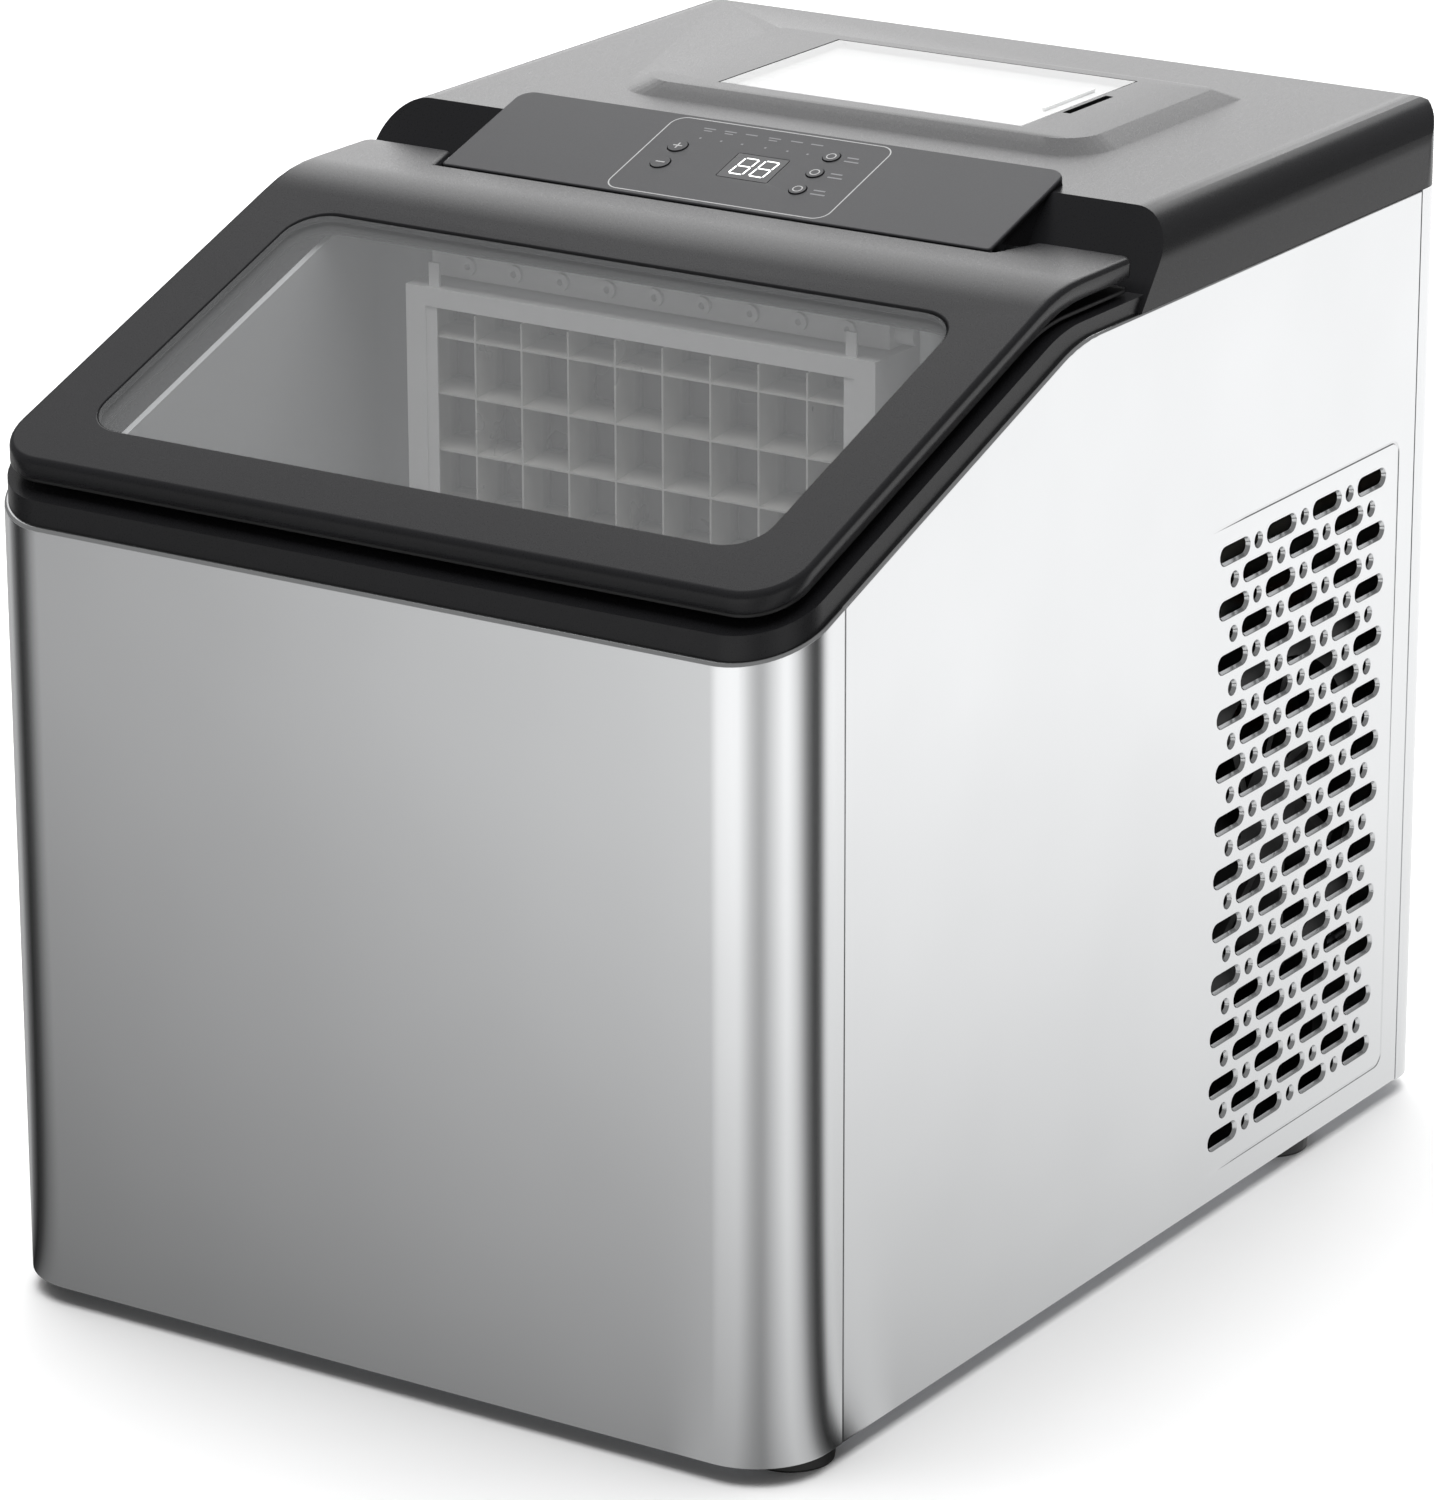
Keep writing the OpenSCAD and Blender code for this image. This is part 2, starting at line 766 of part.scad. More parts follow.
module lid_frame() {
    color("#3c3c3e") difference() {
        intersection() {
            between(lid_low_line, lid_top_line, lid_bend_r);
            column() lid_plan(0);
        }
        // Hollow below the skin, ahead of the hinge blocks
        intersection() {
            under(lid_top_line - [lid_skin / cos(slope), lid_skin], lid_bend_r);
            column() lid_plan(lid_skin);
            slab(front_y, notch_y - lid_skin);
        }
        on_slope() rounded(window_half, window_front, window_front + window_len, window_r, -over, over);
        lid_notch();
        translate([0, hinge_y, hinge_h]) rotate([0, 90, 0])
            cylinder(h = 2 * (housing_half + 22), r = pin_r + running_gap, center = true);
    }
}

module lid_window() {
    color("lightgray", 0.45) on_slope() {
        rounded(window_half - fit_gap, window_front + fit_gap, window_front + window_len - fit_gap,
            window_r - fit_gap, -lid_skin, -pane_sink);
        rounded(window_half + pane_flange, window_front - pane_flange,
            window_front + window_len + pane_flange, window_r + pane_flange,
            -lid_skin - pane_flange_t, -lid_skin);
    }
}

module lid_inner_frame() {
    color("#2a2a2c") difference() {
        intersection() {
            between(lid_low_line - [lid_inner_t, lid_inner_t], lid_low_line, lid_bend_r);
            column() lid_plan(lip_inset);
        }
        on_slope() rounded(window_half, window_front, window_front + window_len, window_r, -over, over);
        lid_notch();
    }
}

module lid_seal() {
    color("#161616") intersection() {
        between(lid_low_line - [1, 1] * (lid_inner_t + seal_t), lid_low_line - [1, 1] * lid_inner_t,
            lid_bend_r);
        column() difference() {
            rim_plan(collar_inset - 1);
            rim_plan(collar_inset - 1 + seal_w);
        }
        slab(front_y, notch_y - seal_w);
    }
}

// ---------- control panel ----------

// Buttons as place across, place up the plate, and diameter
step_x = -27.4;
mode_x = 20.8;
plus_place = [step_x, 27.2, step_button_d];
minus_place = [step_x, 17.7, step_button_d];
clean_place = [mode_x, 33.4, mode_button_d];
size_place = [mode_x, 24.2, mode_button_d];
power_place = [mode_x, 14.7, mode_button_d];
button_places = [plus_place, minus_place, clean_place, size_place, power_place];
button_gap = 0.3;
button_proud = 0.3;
button_flange = 0.8;
display_x = 1.3;
display_v = 22;
board_top = -7.2;
board_t = 1.6;
switch_h = 2.4;

module control_panel() {
    color("#3f3f41") on_panel() difference() {
        translate([0, 0, -panel_t]) linear_extrude(panel_t) plan(panel_w / 2, 0, panel_l, 1, 4.5);
        for (b = button_places) translate([b[0], b[1], -over])
            cylinder(h = 2 * over, r = b[2] / 2 + button_gap);
        translate([display_x, display_v, 0])
            cube([display_w + 2 * fit_gap, display_l + 2 * fit_gap, over], center = true);
    }
}

module display_lens() {
    color("#202022") on_panel() translate([display_x, display_v, -panel_t / 2])
        cube([display_w, display_l, panel_t], center = true);
}

module display_module() {
    color("#101010") on_panel() block(
        [display_x - display_w / 2 + 0.5, display_v - display_l / 2 + 0.5, board_top],
        [display_x + display_w / 2 - 0.5, display_v + display_l / 2 - 0.5, -panel_t - fit_gap]);
}

// Circuit board with a switch under each button
module control_board() {
    color("seagreen") on_panel() {
        block([-42, 7, board_top - board_t], [42, panel_l - 8, board_top]);
        for (b = button_places) translate([b[0], b[1], board_top])
            translate([-3, -3, 0]) cube([6, 6, switch_h]);
    }
}

// Button with its retaining flange under the plate
module button(place) {
    low = board_top + switch_h + button_travel + fit_gap;
    color("#2e2e30") on_panel() translate([place[0], place[1], 0]) {
        translate([0, 0, -panel_t - fit_gap])
            cylinder(h = panel_t + fit_gap + button_proud, r = place[2] / 2);
        translate([0, 0, -panel_t - fit_gap - button_flange])
            cylinder(h = button_flange, r = place[2] / 2 + button_flange);
        translate([0, 0, low]) cylinder(h = -panel_t - fit_gap - button_flange - low, r = 1.5);
    }
}

module plus_button() { button(plus_place); }
module minus_button() { button(minus_place); }
module clean_button() { button(clean_place); }
module size_button() { button(size_place); }
module power_button() { button(power_place); }

// ---------- tank ----------

// Clear lid with a raised grip along its right edge and an axle along its left edge
module tank_lid() {
    color("white", 0.5) {
        block([-tank_lid_half, tank_lid_y0, pad_top - tank_lid_t], [tank_lid_half, tank_lid_y1, pad_top]);
        block([tank_lid_half - 4, latch_y - latch_l / 2, pad_top],
            [tank_lid_half - 3, latch_y + latch_l / 2, pad_top + 1.2]);
        translate([tank_axle_x, 0, tank_axle_h]) rod([0, tank_lid_y0 - tank_axle_l, 0],
            [0, tank_lid_y1 + tank_axle_l, 0], tank_axle_r);
    }
}

module water_tank() {
    color("whitesmoke") difference() {
        rounded(tank_half, tank_y0, tank_y1, 8, tank_low, tank_top);
        rounded(tank_half - tank_wall, tank_y0 + tank_wall, tank_y1 - tank_wall, 6,
            tank_low + tank_wall, tank_top + over);
        translate([tank_hose_x, tank_hose_y, tank_low - 1])
            cylinder(h = over, r = spigot_r - tank_wall / 2);
    }
    // Spigot that the hose is pushed on to
    color("whitesmoke") translate([tank_hose_x, tank_hose_y, tank_low - spigot_l]) difference() {
        cylinder(h = spigot_l + tank_wall / 2, r = spigot_r);
        translate([0, 0, -1]) cylinder(h = spigot_l + tank_wall + 2, r = spigot_r - tank_wall / 2);
    }
}

module tank_hose() {
    color("lightgray") difference() {
        pipe([[tank_hose_x, tank_hose_y, tank_low - fit_gap],
            [tank_hose_x, tank_hose_y, tank_hose_end_h],
            [tank_hose_x, bin_y1 - 6, tank_hose_end_h]], hose_r);
        translate([tank_hose_x, tank_hose_y, tank_low - spigot_l - fit_gap])
            cylinder(h = spigot_l + 1, r = spigot_r + running_gap);
    }
}

// ---------- ice bin ----------

module bin_liner() {
    color("gainsboro") difference() {
        union() {
            intersection() {
                column(bin_floor_h - bin_t) bin_plan(bin_t);
                under(rim_line);
            }
            // Flange that hangs under the deck
            intersection() {
                between(rim_line - [1, 1] * (cover_t + 1.5), rim_line - [1, 1] * cover_t);
                column() bin_plan(bin_flange);
            }
        }
        column(bin_floor_h) bin_plan(0);
        translate([tank_hose_x, 0, tank_hose_end_h]) rod([0, bin_y1 - 1, 0], [0, foam_rear_y + 1, 0],
            hose_r + fit_gap);
        for (h = coil_ends()) rod([coil_x, coil_y, h], [coil_x, foam_rear_y + 1, h], coil_r + fit_gap);
        translate([drain_x, bin_y1 - 14, 0]) cylinder(h = bin_floor_h + 1, r = drain_r + fit_gap / 2);
        for (s = [-1, 1]) rod([s * (bin_half - 1), sensor_y, sensor_h],
            [s * (bin_half + bin_t + 1), sensor_y, sensor_h], sensor_r + fit_gap / 2);
    }
    // Ledges that carry the basket
    color("gainsboro") for (y = [basket_y0 + 2, basket_y1 - ledge_d - 2], s = [-1, 1])
        block([min(s * (bin_half - 24), s * bin_half), y, bin_floor_h],
            [max(s * (bin_half - 24), s * bin_half), y + ledge_d, basket_low - fit_gap]);
}

// Pair of infrared sensors that see the ice reach the top of the basket
module ice_sensors() {
    color("#202020") for (s = [-1, 1]) {
        rod([s * (bin_half - 1), sensor_y, sensor_h],
            [s * (bin_half + bin_t + 6), sensor_y, sensor_h], sensor_r);
    }
}

module insulation() {
    color("ivory") difference() {
        intersection() {
            under(steel_line - [1, 1] * (sheet_t / cos(slope) + 1));
            column(pan_top) body_plan(pan_inset + pan_t + fit_gap);
            slab(front_y, foam_rear_y);
        }
        column(bin_floor_h - bin_t - fit_gap) bin_plan(bin_t + fit_gap);
        translate([tank_hose_x, 0, tank_hose_end_h]) rod([0, bin_y1, 0], [0, foam_rear_y + 1, 0],
            hose_r + 1);
        for (h = coil_ends()) rod([coil_x, coil_y, h], [coil_x, foam_rear_y + 1, h], coil_r + 1);
        block([drain_x - drain_r - 2, bin_y1 - 14 - drain_r - 2, pan_top - 1],
            [drain_x + drain_r + 2, foam_rear_y + 1, bin_floor_h]);
        for (s = [-1, 1]) rod([s * bin_half, sensor_y, sensor_h],
            [s * (bin_half + bin_t + 6.5), sensor_y, sensor_h], sensor_r + moving_gap);
        for (p = foot_places) translate([p[0], p[1], 0])
            cylinder(h = pan_top + 6, r = foot_screw_r + 1);
    }
}

// Open basket with rows of slots in its long walls
module ice_basket() {
    slots = 9;
    step = 2 * (basket_half - 12) / (slots - 1);
    color("white") difference() {
        rounded(basket_half, basket_y0, basket_y1, 8, basket_low, basket_low + basket_h);
        rounded(basket_half - basket_t, basket_y0 + basket_t, basket_y1 - basket_t, 6,
            basket_low + basket_t, basket_low + basket_h + over);
        for (i = [0:slots - 1]) block([-basket_half + 10 + i * step, basket_y0 - 1, basket_low + 12],
            [-basket_half + 14 + i * step, basket_y1 + 1, basket_low + basket_h - 22]);
        for (i = [1:slots - 2]) block([-basket_half + 10 + i * step, basket_y0 + 14, basket_low - 1],
            [-basket_half + 14 + i * step, basket_y1 - 14, basket_low + basket_t + 1]);
    }
}

// ---------- evaporator ----------

// Heights of the coil's runs, and of its two ends
function coil_run_h(i) = shelf_low + cell_h / 2 + i * (shelf_top - shelf_low - cell_h) / (coil_runs - 1);
function coil_ends() = [coil_run_h(0), coil_run_h(coil_runs - 1)];

module evaporator_frame() {
    tab = 3.6;
    color("white") {
        difference() {
            block([-frame_half, grid_front_y, frame_low], [frame_half, bin_y1 - fit_gap, frame_top]);
            block([-grid_half - 0.15, grid_front_y - 1, frame_low - 1],
                [grid_half + 0.15, bin_y1 - fit_gap - 3, frame_inside_top]);
            for (h = coil_ends()) rod([coil_x, coil_y, h], [coil_x, foam_rear_y, h], coil_r + fit_gap);
        }
        for (s = [-1, 1]) translate([s * (grid_half - tab / 2 + 0.15), grid_front_y + 0.4, 0])
            block([-tab / 2, 0, shelf_low], [tab / 2, 0.6, frame_inside_top]);
        for (s = [-1, 1]) translate([s * (grid_half - tab / 2), grid_front_y + 1.5, 0])
            block([-tab / 2, 0, frame_top], [tab / 2, 1, frame_top + 7]);
    }
}

// Nickel-plated cells: a back plate with upright dividers and shelves that fall to the front
module ice_grid() {
    color("silver") {
        block([-grid_half, back_plate_y, shelf_low], [grid_half, back_plate_y + 1, frame_inside_top - 1]);
        for (i = [0:cell_cols]) translate([-grid_half + i * cell_w, 0, 0])
            block([-plate_t / 2 * (i > 0 ? 1 : 0), grid_front_y + 1.4, shelf_low],
                [plate_t / 2 * (i < cell_cols ? 1 : 0) + 0.01, back_plate_y + 0.5,
                frame_inside_top - 1]);
        for (i = [0:cell_rows]) across(2 * grid_half) polygon([
            [grid_front_y + 1.4, shelf_low + i * cell_h],
            [back_plate_y + 0.5, shelf_low + i * cell_h + shelf_rise],
            [back_plate_y + 0.5, shelf_low + i * cell_h + shelf_rise + plate_t],
            [grid_front_y + 1.4, shelf_low + i * cell_h + plate_t]]);
    }
}

// Copper serpentine behind the back plate, and its ends through the rear wall
module evaporator_coil() {
    color("peru") {
        for (i = [0:coil_runs - 1]) rod([-coil_half, coil_y, coil_run_h(i)],
            [coil_half, coil_y, coil_run_h(i)], coil_r);
        for (i = [0:coil_runs - 2]) translate([(i % 2 == 0 ? -1 : 1) * coil_half, coil_y,
            (coil_run_h(i) + coil_run_h(i + 1)) / 2])
            rotate([90, 0, i % 2 == 0 ? 180 : 0]) rotate([0, 0, -90]) rotate_extrude(angle = 180)
            translate([(coil_run_h(1) - coil_run_h(0)) / 2, 0]) circle(coil_r);
        for (h = coil_ends()) {
            translate([coil_x, coil_y, h]) sphere(coil_r * 1.02);
            rod([coil_x, coil_y, h], [coil_x, foam_rear_y + 6, h], coil_r);
        }
    }
}

// Bar that lets water run down the grid, with a nozzle over each column of cells
module water_bar() {
    color("white") difference() {
        union() {
            block([-bar_half, bar_y0, bar_low], [bar_half, bar_y0 + bar_d, bar_low + bar_h]);
            for (x = cell_places) translate([x, bar_y0, bar_low + bar_h - 3.5])
                rotate([90, 0, 0]) cylinder(h = 1.2, r = 2.6);
            rod([bar_half - 1, hose_y, bar_low + bar_h / 2],
                [hose_x - hose_r - 1, hose_y, bar_low + bar_h / 2], 3);
        }
        block([-bar_half + 1.5, bar_y0 + 1.5, bar_low + 1.5],
            [bar_half - 1.5, bar_y0 + bar_d - 1.5, bar_low + bar_h - 1.5]);
        for (x = cell_places) translate([x, bar_y0 + 1, bar_low + bar_h - 3.5])
            rotate([90, 0, 0]) cylinder(h = over, r = 1);
    }
}

module water_pump() {
    color("#262626") {
        translate([pump_x, pump_y, bin_floor_h]) cylinder(h = 26, r = pump_r);
        translate([pump_x, pump_y, bin_floor_h + 26]) cylinder(h = 14, r = pump_r - 4);
        rod([pump_x + pump_r - 3, pump_y, bin_floor_h + 12],
            [hose_x - hose_r - fit_gap, pump_y, bin_floor_h + 12], 3);
    }
}

module pump_hose() {
    color("lightgray") difference() {
        pipe([[hose_x, pump_y, bin_floor_h + 6], [hose_x, pump_y, shelf_low - 30],
            [hose_x, hose_y, shelf_low - 16], [hose_x, hose_y, bar_low + bar_h + 3]], hose_r);
        rod([hose_x - 3 * hose_r, hose_y, bar_low + bar_h / 2],
            [hose_x - hose_r + 1, hose_y, bar_low + bar_h / 2], 3 + fit_gap);
    }
}

// ---------- drain and cord ----------

module drain_pipe() {
    color("#2b2b2b") difference() {
        pipe([[drain_x, bin_y1 - 14, bin_floor_h], [drain_x, bin_y1 - 14, drain_h],
            [drain_x, rear_y - cup_d + 8, drain_h]], drain_r);
        rod([drain_x, rear_y - cup_d - 12, drain_h], [drain_x, rear_y, drain_h], drain_r - 1.5);
        translate([drain_x, bin_y1 - 14, drain_h]) cylinder(h = over, r = drain_r - 1.5);
    }
}

// Rubber plug with a stem in the drain pipe and a flange to pull
module drain_plug() {
    color("#161616") translate([drain_x, rear_y - cup_d + 8, drain_h]) rotate([-90, 0, 0]) {
        translate([0, 0, -7]) cylinder(h = 7.3, r = drain_r - 1.5 - running_gap);
        translate([0, 0, 0.3]) cylinder(h = 3, r = drain_r + 2);
        translate([0, 0, 3.3]) cylinder(h = 5, r = 3);
    }
}

module cord_gland() {
    color("#1a1a1a") translate([gland_x, rear_y - cup_d, drain_h]) rotate([-90, 0, 0]) difference() {
        union() {
            translate([0, 0, -8]) cylinder(h = 18, r = gland_r);
            translate([0, 0, cup_t + fit_gap / 2]) cylinder(h = 3, r = gland_r + 1.8);
            translate([0, 0, -4]) cylinder(h = 4 - fit_gap / 2, r = gland_r + 1.8);
        }
        translate([0, 0, -9]) cylinder(h = 30, r = 3.6);
    }
}

// ---------- cooling circuit ----------

module compressor() {
    dome = 12;
    color("#222222") translate([compressor_x, compressor_y, compressor_low]) {
        difference() {
            union() {
                translate([0, 0, dome]) cylinder(h = compressor_h - 2 * dome, r = compressor_r);
                cylinder(h = dome, r1 = compressor_r - dome, r2 = compressor_r);
                translate([0, 0, compressor_h - dome])
                    cylinder(h = dome, r1 = compressor_r, r2 = compressor_r - dome);
            }
            translate([0, 0, dome])
                cylinder(h = compressor_h - 2 * dome, r = compressor_r - compressor_wall);
        }
        for (turn = [45:90:315]) rotate(turn) difference() {
            block([compressor_r - 16, -11, 2], [mount_reach + 10, 11, 4.5]);
            translate([mount_reach, 0, -1]) cylinder(h = 10, r = 4);
            translate([0, 0, -1]) cylinder(h = 10, r = compressor_r - 10);
        }
    }
}

module compressor_mounts() {
    color("#151515") translate([compressor_x, compressor_y, pan_top])
        for (turn = [45:90:315]) rotate(turn) translate([mount_reach, 0, 0]) {
            cylinder(h = compressor_low - pan_top + 2, r = mount_r);
            cylinder(h = compressor_low - pan_top + 8, r = 4 - fit_gap / 2);
        }
}

// Places of the condenser's tube in its fins, as place across and height
tube_places = [for (i = [0:tube_rows - 1], s = [0, 1])
    [condenser_x0 + 8.5 + s * (condenser_d - 17), condenser_low + (i + 0.5) * tube_step]];

module condenser_fins() {
    color("lightgray") for (i = [0:fin_count - 1])
        translate([0, condenser_y0 + i * fin_step + fin_t, 0]) rotate([90, 0, 0])
        linear_extrude(fin_t) difference() {
            translate([condenser_x0, condenser_low]) square([condenser_d, condenser_h]);
            for (p = tube_places) translate(p) circle(tube_r + fit_gap / 2);
        }
    color("lightgray") for (x = [condenser_x0, condenser_x0 + condenser_d - 1.2])
        block([x, condenser_y0 + 1.5 * fin_step, pan_top],
            [x + 1.2, condenser_y0 + 1.5 * fin_step + 10, condenser_low]);
}

// Serpentine tube: straight runs joined by bends at alternate ends
module condenser_tube() {
    y0 = condenser_y0 - 3;
    y1 = condenser_y0 + condenser_len + 3;
    color("peru") {
        for (p = tube_places) rod([p[0], y0, p[1]], [p[0], y1, p[1]], tube_r);
        for (i = [0:len(tube_places) - 2]) {
            p = tube_places[i];
            q = tube_places[i + 1];
            y = i % 2 == 0 ? y1 : y0;
            turn_y = i % 2 == 0 ? y1 + 4 : y0 - 4;
            pipe([[p[0], y, p[1]], [p[0], turn_y, p[1]], [q[0], turn_y, q[1]], [q[0], y, q[1]]],
                tube_r);
        }
    }
}

drier_x = 2;
drier_y = foam_rear_y + 24;
drier_low = 60;
drier_l = 66;
valve_x = -30;
valve_h = 162;
small_pipe_r = 2.5;

module filter_drier() {
    color("peru") translate([drier_x, drier_y, drier_low]) {
        cylinder(h = drier_l, r = 9);
        translate([0, 0, drier_l]) cylinder(h = 8, r1 = 9, r2 = 3);
        translate([0, 0, -8]) cylinder(h = 8, r1 = 3, r2 = 9);
    }
}

module hot_gas_valve() {
    color("#3a3a6a") {
        translate([valve_x, drier_y, valve_h]) cylinder(h = 10, r = 8);
        translate([valve_x, drier_y, valve_h + 10]) cylinder(h = 24, r = 13);
    }
}

module refrigerant_pipes() {
    top = compressor_low + compressor_h;
    port_y = compressor_y - 20;
    discharge_x = compressor_x + 14;
    suction_x = compressor_x - 14;
    front_run = condenser_y0 - 14;
    first = tube_places[0];
    last = tube_places[len(tube_places) - 1];
    ends = coil_ends();
    color("peru") {
        // Discharge: compressor to condenser
        pipe([[discharge_x, port_y, top], [discharge_x, port_y, top + 10],
            [last[0], port_y, top + 10], [last[0], front_run, top + 10],
            [last[0], front_run, last[1]], [last[0], condenser_y0 - 3, last[1]]], small_pipe_r);
        // Liquid: condenser to drier
        pipe([[first[0], condenser_y0 - 3, first[1]], [first[0], front_run, first[1]],
            [first[0], front_run, drier_low - 22], [drier_x, front_run, drier_low - 22],
            [drier_x, drier_y, drier_low - 22], [drier_x, drier_y, drier_low - 8]], small_pipe_r);
        // Drier to the evaporator
        pipe([[drier_x, drier_y, drier_low + drier_l + 8], [drier_x, drier_y, ends[0]],
            [coil_x, drier_y, ends[0]], [coil_x, foam_rear_y + 6, ends[0]]], small_pipe_r);
        // Suction: evaporator to compressor
        pipe([[coil_x, foam_rear_y + 6, ends[1]], [coil_x, foam_rear_y + 14, ends[1]],
            [suction_x, foam_rear_y + 14, ends[1]], [suction_x, foam_rear_y + 14, top + 22],
            [suction_x, port_y, top + 22], [suction_x, port_y, top]], small_pipe_r);
        // Hot gas: from the compressor through the valve to the evaporator's feed
        pipe([[compressor_x, port_y - 8, top], [compressor_x, port_y - 8, top + 10],
            [valve_x, port_y - 8, top + 10], [valve_x, drier_y, top + 10],
            [valve_x, drier_y, valve_h]], small_pipe_r * 0.8);
        rod([valve_x + 8, drier_y, valve_h + 5], [drier_x, drier_y, valve_h + 5], small_pipe_r * 0.8);
        translate([drier_x, drier_y, valve_h + 5]) sphere(small_pipe_r * 1.3);
    }
}

// Square frame with a round throat, and spokes that hold the motor
module fan_shroud() {
    color("#1d1d1d") translate([fan_x, vent_mid_y, fan_h]) rotate([0, 90, 0]) {
        difference() {
            translate([-shroud_half, -shroud_half, -shroud_d])
                cube([2 * shroud_half, 2 * shroud_half, shroud_d + 6]);
            translate([0, 0, -over]) cylinder(h = 2 * over, r = fan_r + fan_gap);
        }
        difference() {
            for (turn = [0, 90]) rotate(turn)
                translate([-shroud_half + 1, -3, -shroud_d - spoke_t])
                    cube([2 * shroud_half - 2, 6, spoke_t]);
            translate([0, 0, -over]) cylinder(h = 2 * over, r = motor_r + fit_gap / 2);
        }
    }
    color("#1d1d1d") for (s = [-1, 1])
        translate([fan_x - shroud_d, vent_mid_y + s * (shroud_half - 8) - 4, pan_top])
        cube([shroud_d, 8, fan_h - shroud_half - pan_top]);
}

module fan_motor() {
    color("#2c2c2c") translate([fan_x, vent_mid_y, fan_h]) rotate([0, 90, 0]) {
        translate([0, 0, -shroud_d - spoke_t - motor_l + 8]) cylinder(h = motor_l, r = motor_r);
        translate([0, 0, -shroud_d - spoke_t + 7.9]) cylinder(h = 9, r = shaft_r);
    }
}

// Hub and pitched blades on the motor's shaft
module fan_rotor() {
    low = -shroud_d - spoke_t + 8 + moving_gap;
    color("#333333") translate([fan_x, vent_mid_y, fan_h]) rotate([0, 90, 0]) difference() {
        union() {
            translate([0, 0, low]) cylinder(h = hub_l, r = hub_r);
            intersection() {
                translate([0, 0, low]) cylinder(h = hub_l, r = fan_r);
                for (i = [0:fan_blades - 1]) rotate(i * 360 / fan_blades) rotate([34, 0, 0])
                    translate([hub_r - 3, -12, -0.8 + low / 2]) cube([fan_r, 24, 1.6]);
            }
        }
        translate([0, 0, low - 1]) cylinder(h = 9.5, r = shaft_r + running_gap);
    }
}

// Board on the left wall, above the vents
module power_board() {
    x = -half_w + sheet_t + 6;
    y = vent_mid_y - 40;
    h = level_h - 66;
    color("seagreen") block([x, y, h], [x + 1.6, y + 84, h + 52]);
    color("#303030") {
        block([x + 1.6, y + 8, h + 8], [x + 20, y + 34, h + 34]);
        block([x + 1.6, y + 44, h + 6], [x + 15, y + 58, h + 40]);
    }
    color("seagreen") for (dy = [8, 70])
        block([-half_w + sheet_t, y + dy, h + 44], [x, y + dy + 6, h + 50]);
}

base_pan();
feet();
foot_screws();
front_panel();
right_panel();
left_panel();
rear_panel();
panel_screws();
service_cup();
top_cover();
hinge_pins();
lid_frame();
lid_window();
lid_inner_frame();
lid_seal();
control_panel();
display_lens();
display_module();
control_board();
plus_button();
minus_button();
clean_button();
size_button();
power_button();
tank_lid();
water_tank();
tank_hose();
bin_liner();
ice_sensors();
insulation();
ice_basket();
evaporator_frame();
ice_grid();
evaporator_coil();
water_bar();
water_pump();
pump_hose();
drain_pipe();
drain_plug();
cord_gland();
compressor();
compressor_mounts();
condenser_fins();
condenser_tube();
refrigerant_pipes();
filter_drier();
hot_gas_valve();
fan_shroud();
fan_motor();
fan_rotor();
power_board();
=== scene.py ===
import json
from math import cos, pi, radians, sin, tan

import bmesh
import bpy
import numpy as np
from mathutils import Matrix, Vector
from mathutils.geometry import delaunay_2d_cdt


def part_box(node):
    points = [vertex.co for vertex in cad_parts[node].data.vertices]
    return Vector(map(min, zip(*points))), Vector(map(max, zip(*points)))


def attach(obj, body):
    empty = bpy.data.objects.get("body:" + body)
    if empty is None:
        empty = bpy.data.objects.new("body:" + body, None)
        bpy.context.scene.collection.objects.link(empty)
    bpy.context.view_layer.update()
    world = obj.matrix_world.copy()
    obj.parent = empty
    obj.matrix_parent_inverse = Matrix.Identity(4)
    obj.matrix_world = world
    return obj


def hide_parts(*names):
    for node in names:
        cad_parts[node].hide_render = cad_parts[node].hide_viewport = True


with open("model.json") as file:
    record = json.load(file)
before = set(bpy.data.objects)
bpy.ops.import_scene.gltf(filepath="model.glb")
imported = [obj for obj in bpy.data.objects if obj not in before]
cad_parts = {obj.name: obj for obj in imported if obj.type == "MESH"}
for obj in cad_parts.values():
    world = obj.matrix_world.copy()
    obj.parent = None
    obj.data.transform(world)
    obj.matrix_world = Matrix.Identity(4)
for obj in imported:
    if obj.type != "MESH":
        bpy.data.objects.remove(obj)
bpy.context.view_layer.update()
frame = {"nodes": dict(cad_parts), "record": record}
nodes = frame["nodes"]
mm = 0.001

print("frame loaded:", len(nodes), "nodes")

camera = {
    "place": (1.02417, -1.57721, 0.77160),
    "azimuth": 33.176,  # degrees to the right of the front
    "elevation": 18.704,
    "roll": -0.177,
    "lens": 163.95,
    "sensor": 36.0,
}


def makeCamera():
    az, el, roll = (radians(camera[k]) for k in ("azimuth", "elevation", "roll"))
    back = Vector((sin(az) * cos(el), -cos(az) * cos(el), sin(el)))
    right = (-back).cross(Vector((0, 0, 1))).normalized()
    up = right.cross(-back)
    turnedRight = right * cos(roll) + up * sin(roll)
    turnedUp = up * cos(roll) - right * sin(roll)
    data = bpy.data.cameras.new("studioCamera")
    data.lens = camera["lens"]
    data.sensor_width = camera["sensor"]
    data.clip_end = 50
    seen = bpy.data.objects.new("studioCamera", data)
    seen.matrix_world = Matrix.Translation(camera["place"]) @ Matrix(
        (turnedRight, turnedUp, back)).transposed().to_4x4()
    bpy.context.scene.collection.objects.link(seen)
    bpy.context.scene.camera = seen


makeCamera()


def hexColour(text, alpha=1.0):
    # sRGB hex to linear light
    srgb = np.array([int(text[i:i + 2], 16) for i in (1, 3, 5)]) / 255
    linear = np.where(srgb <= 0.04045, srgb / 12.92, ((srgb + 0.055) / 1.055) ** 2.4)
    return (*linear, alpha)


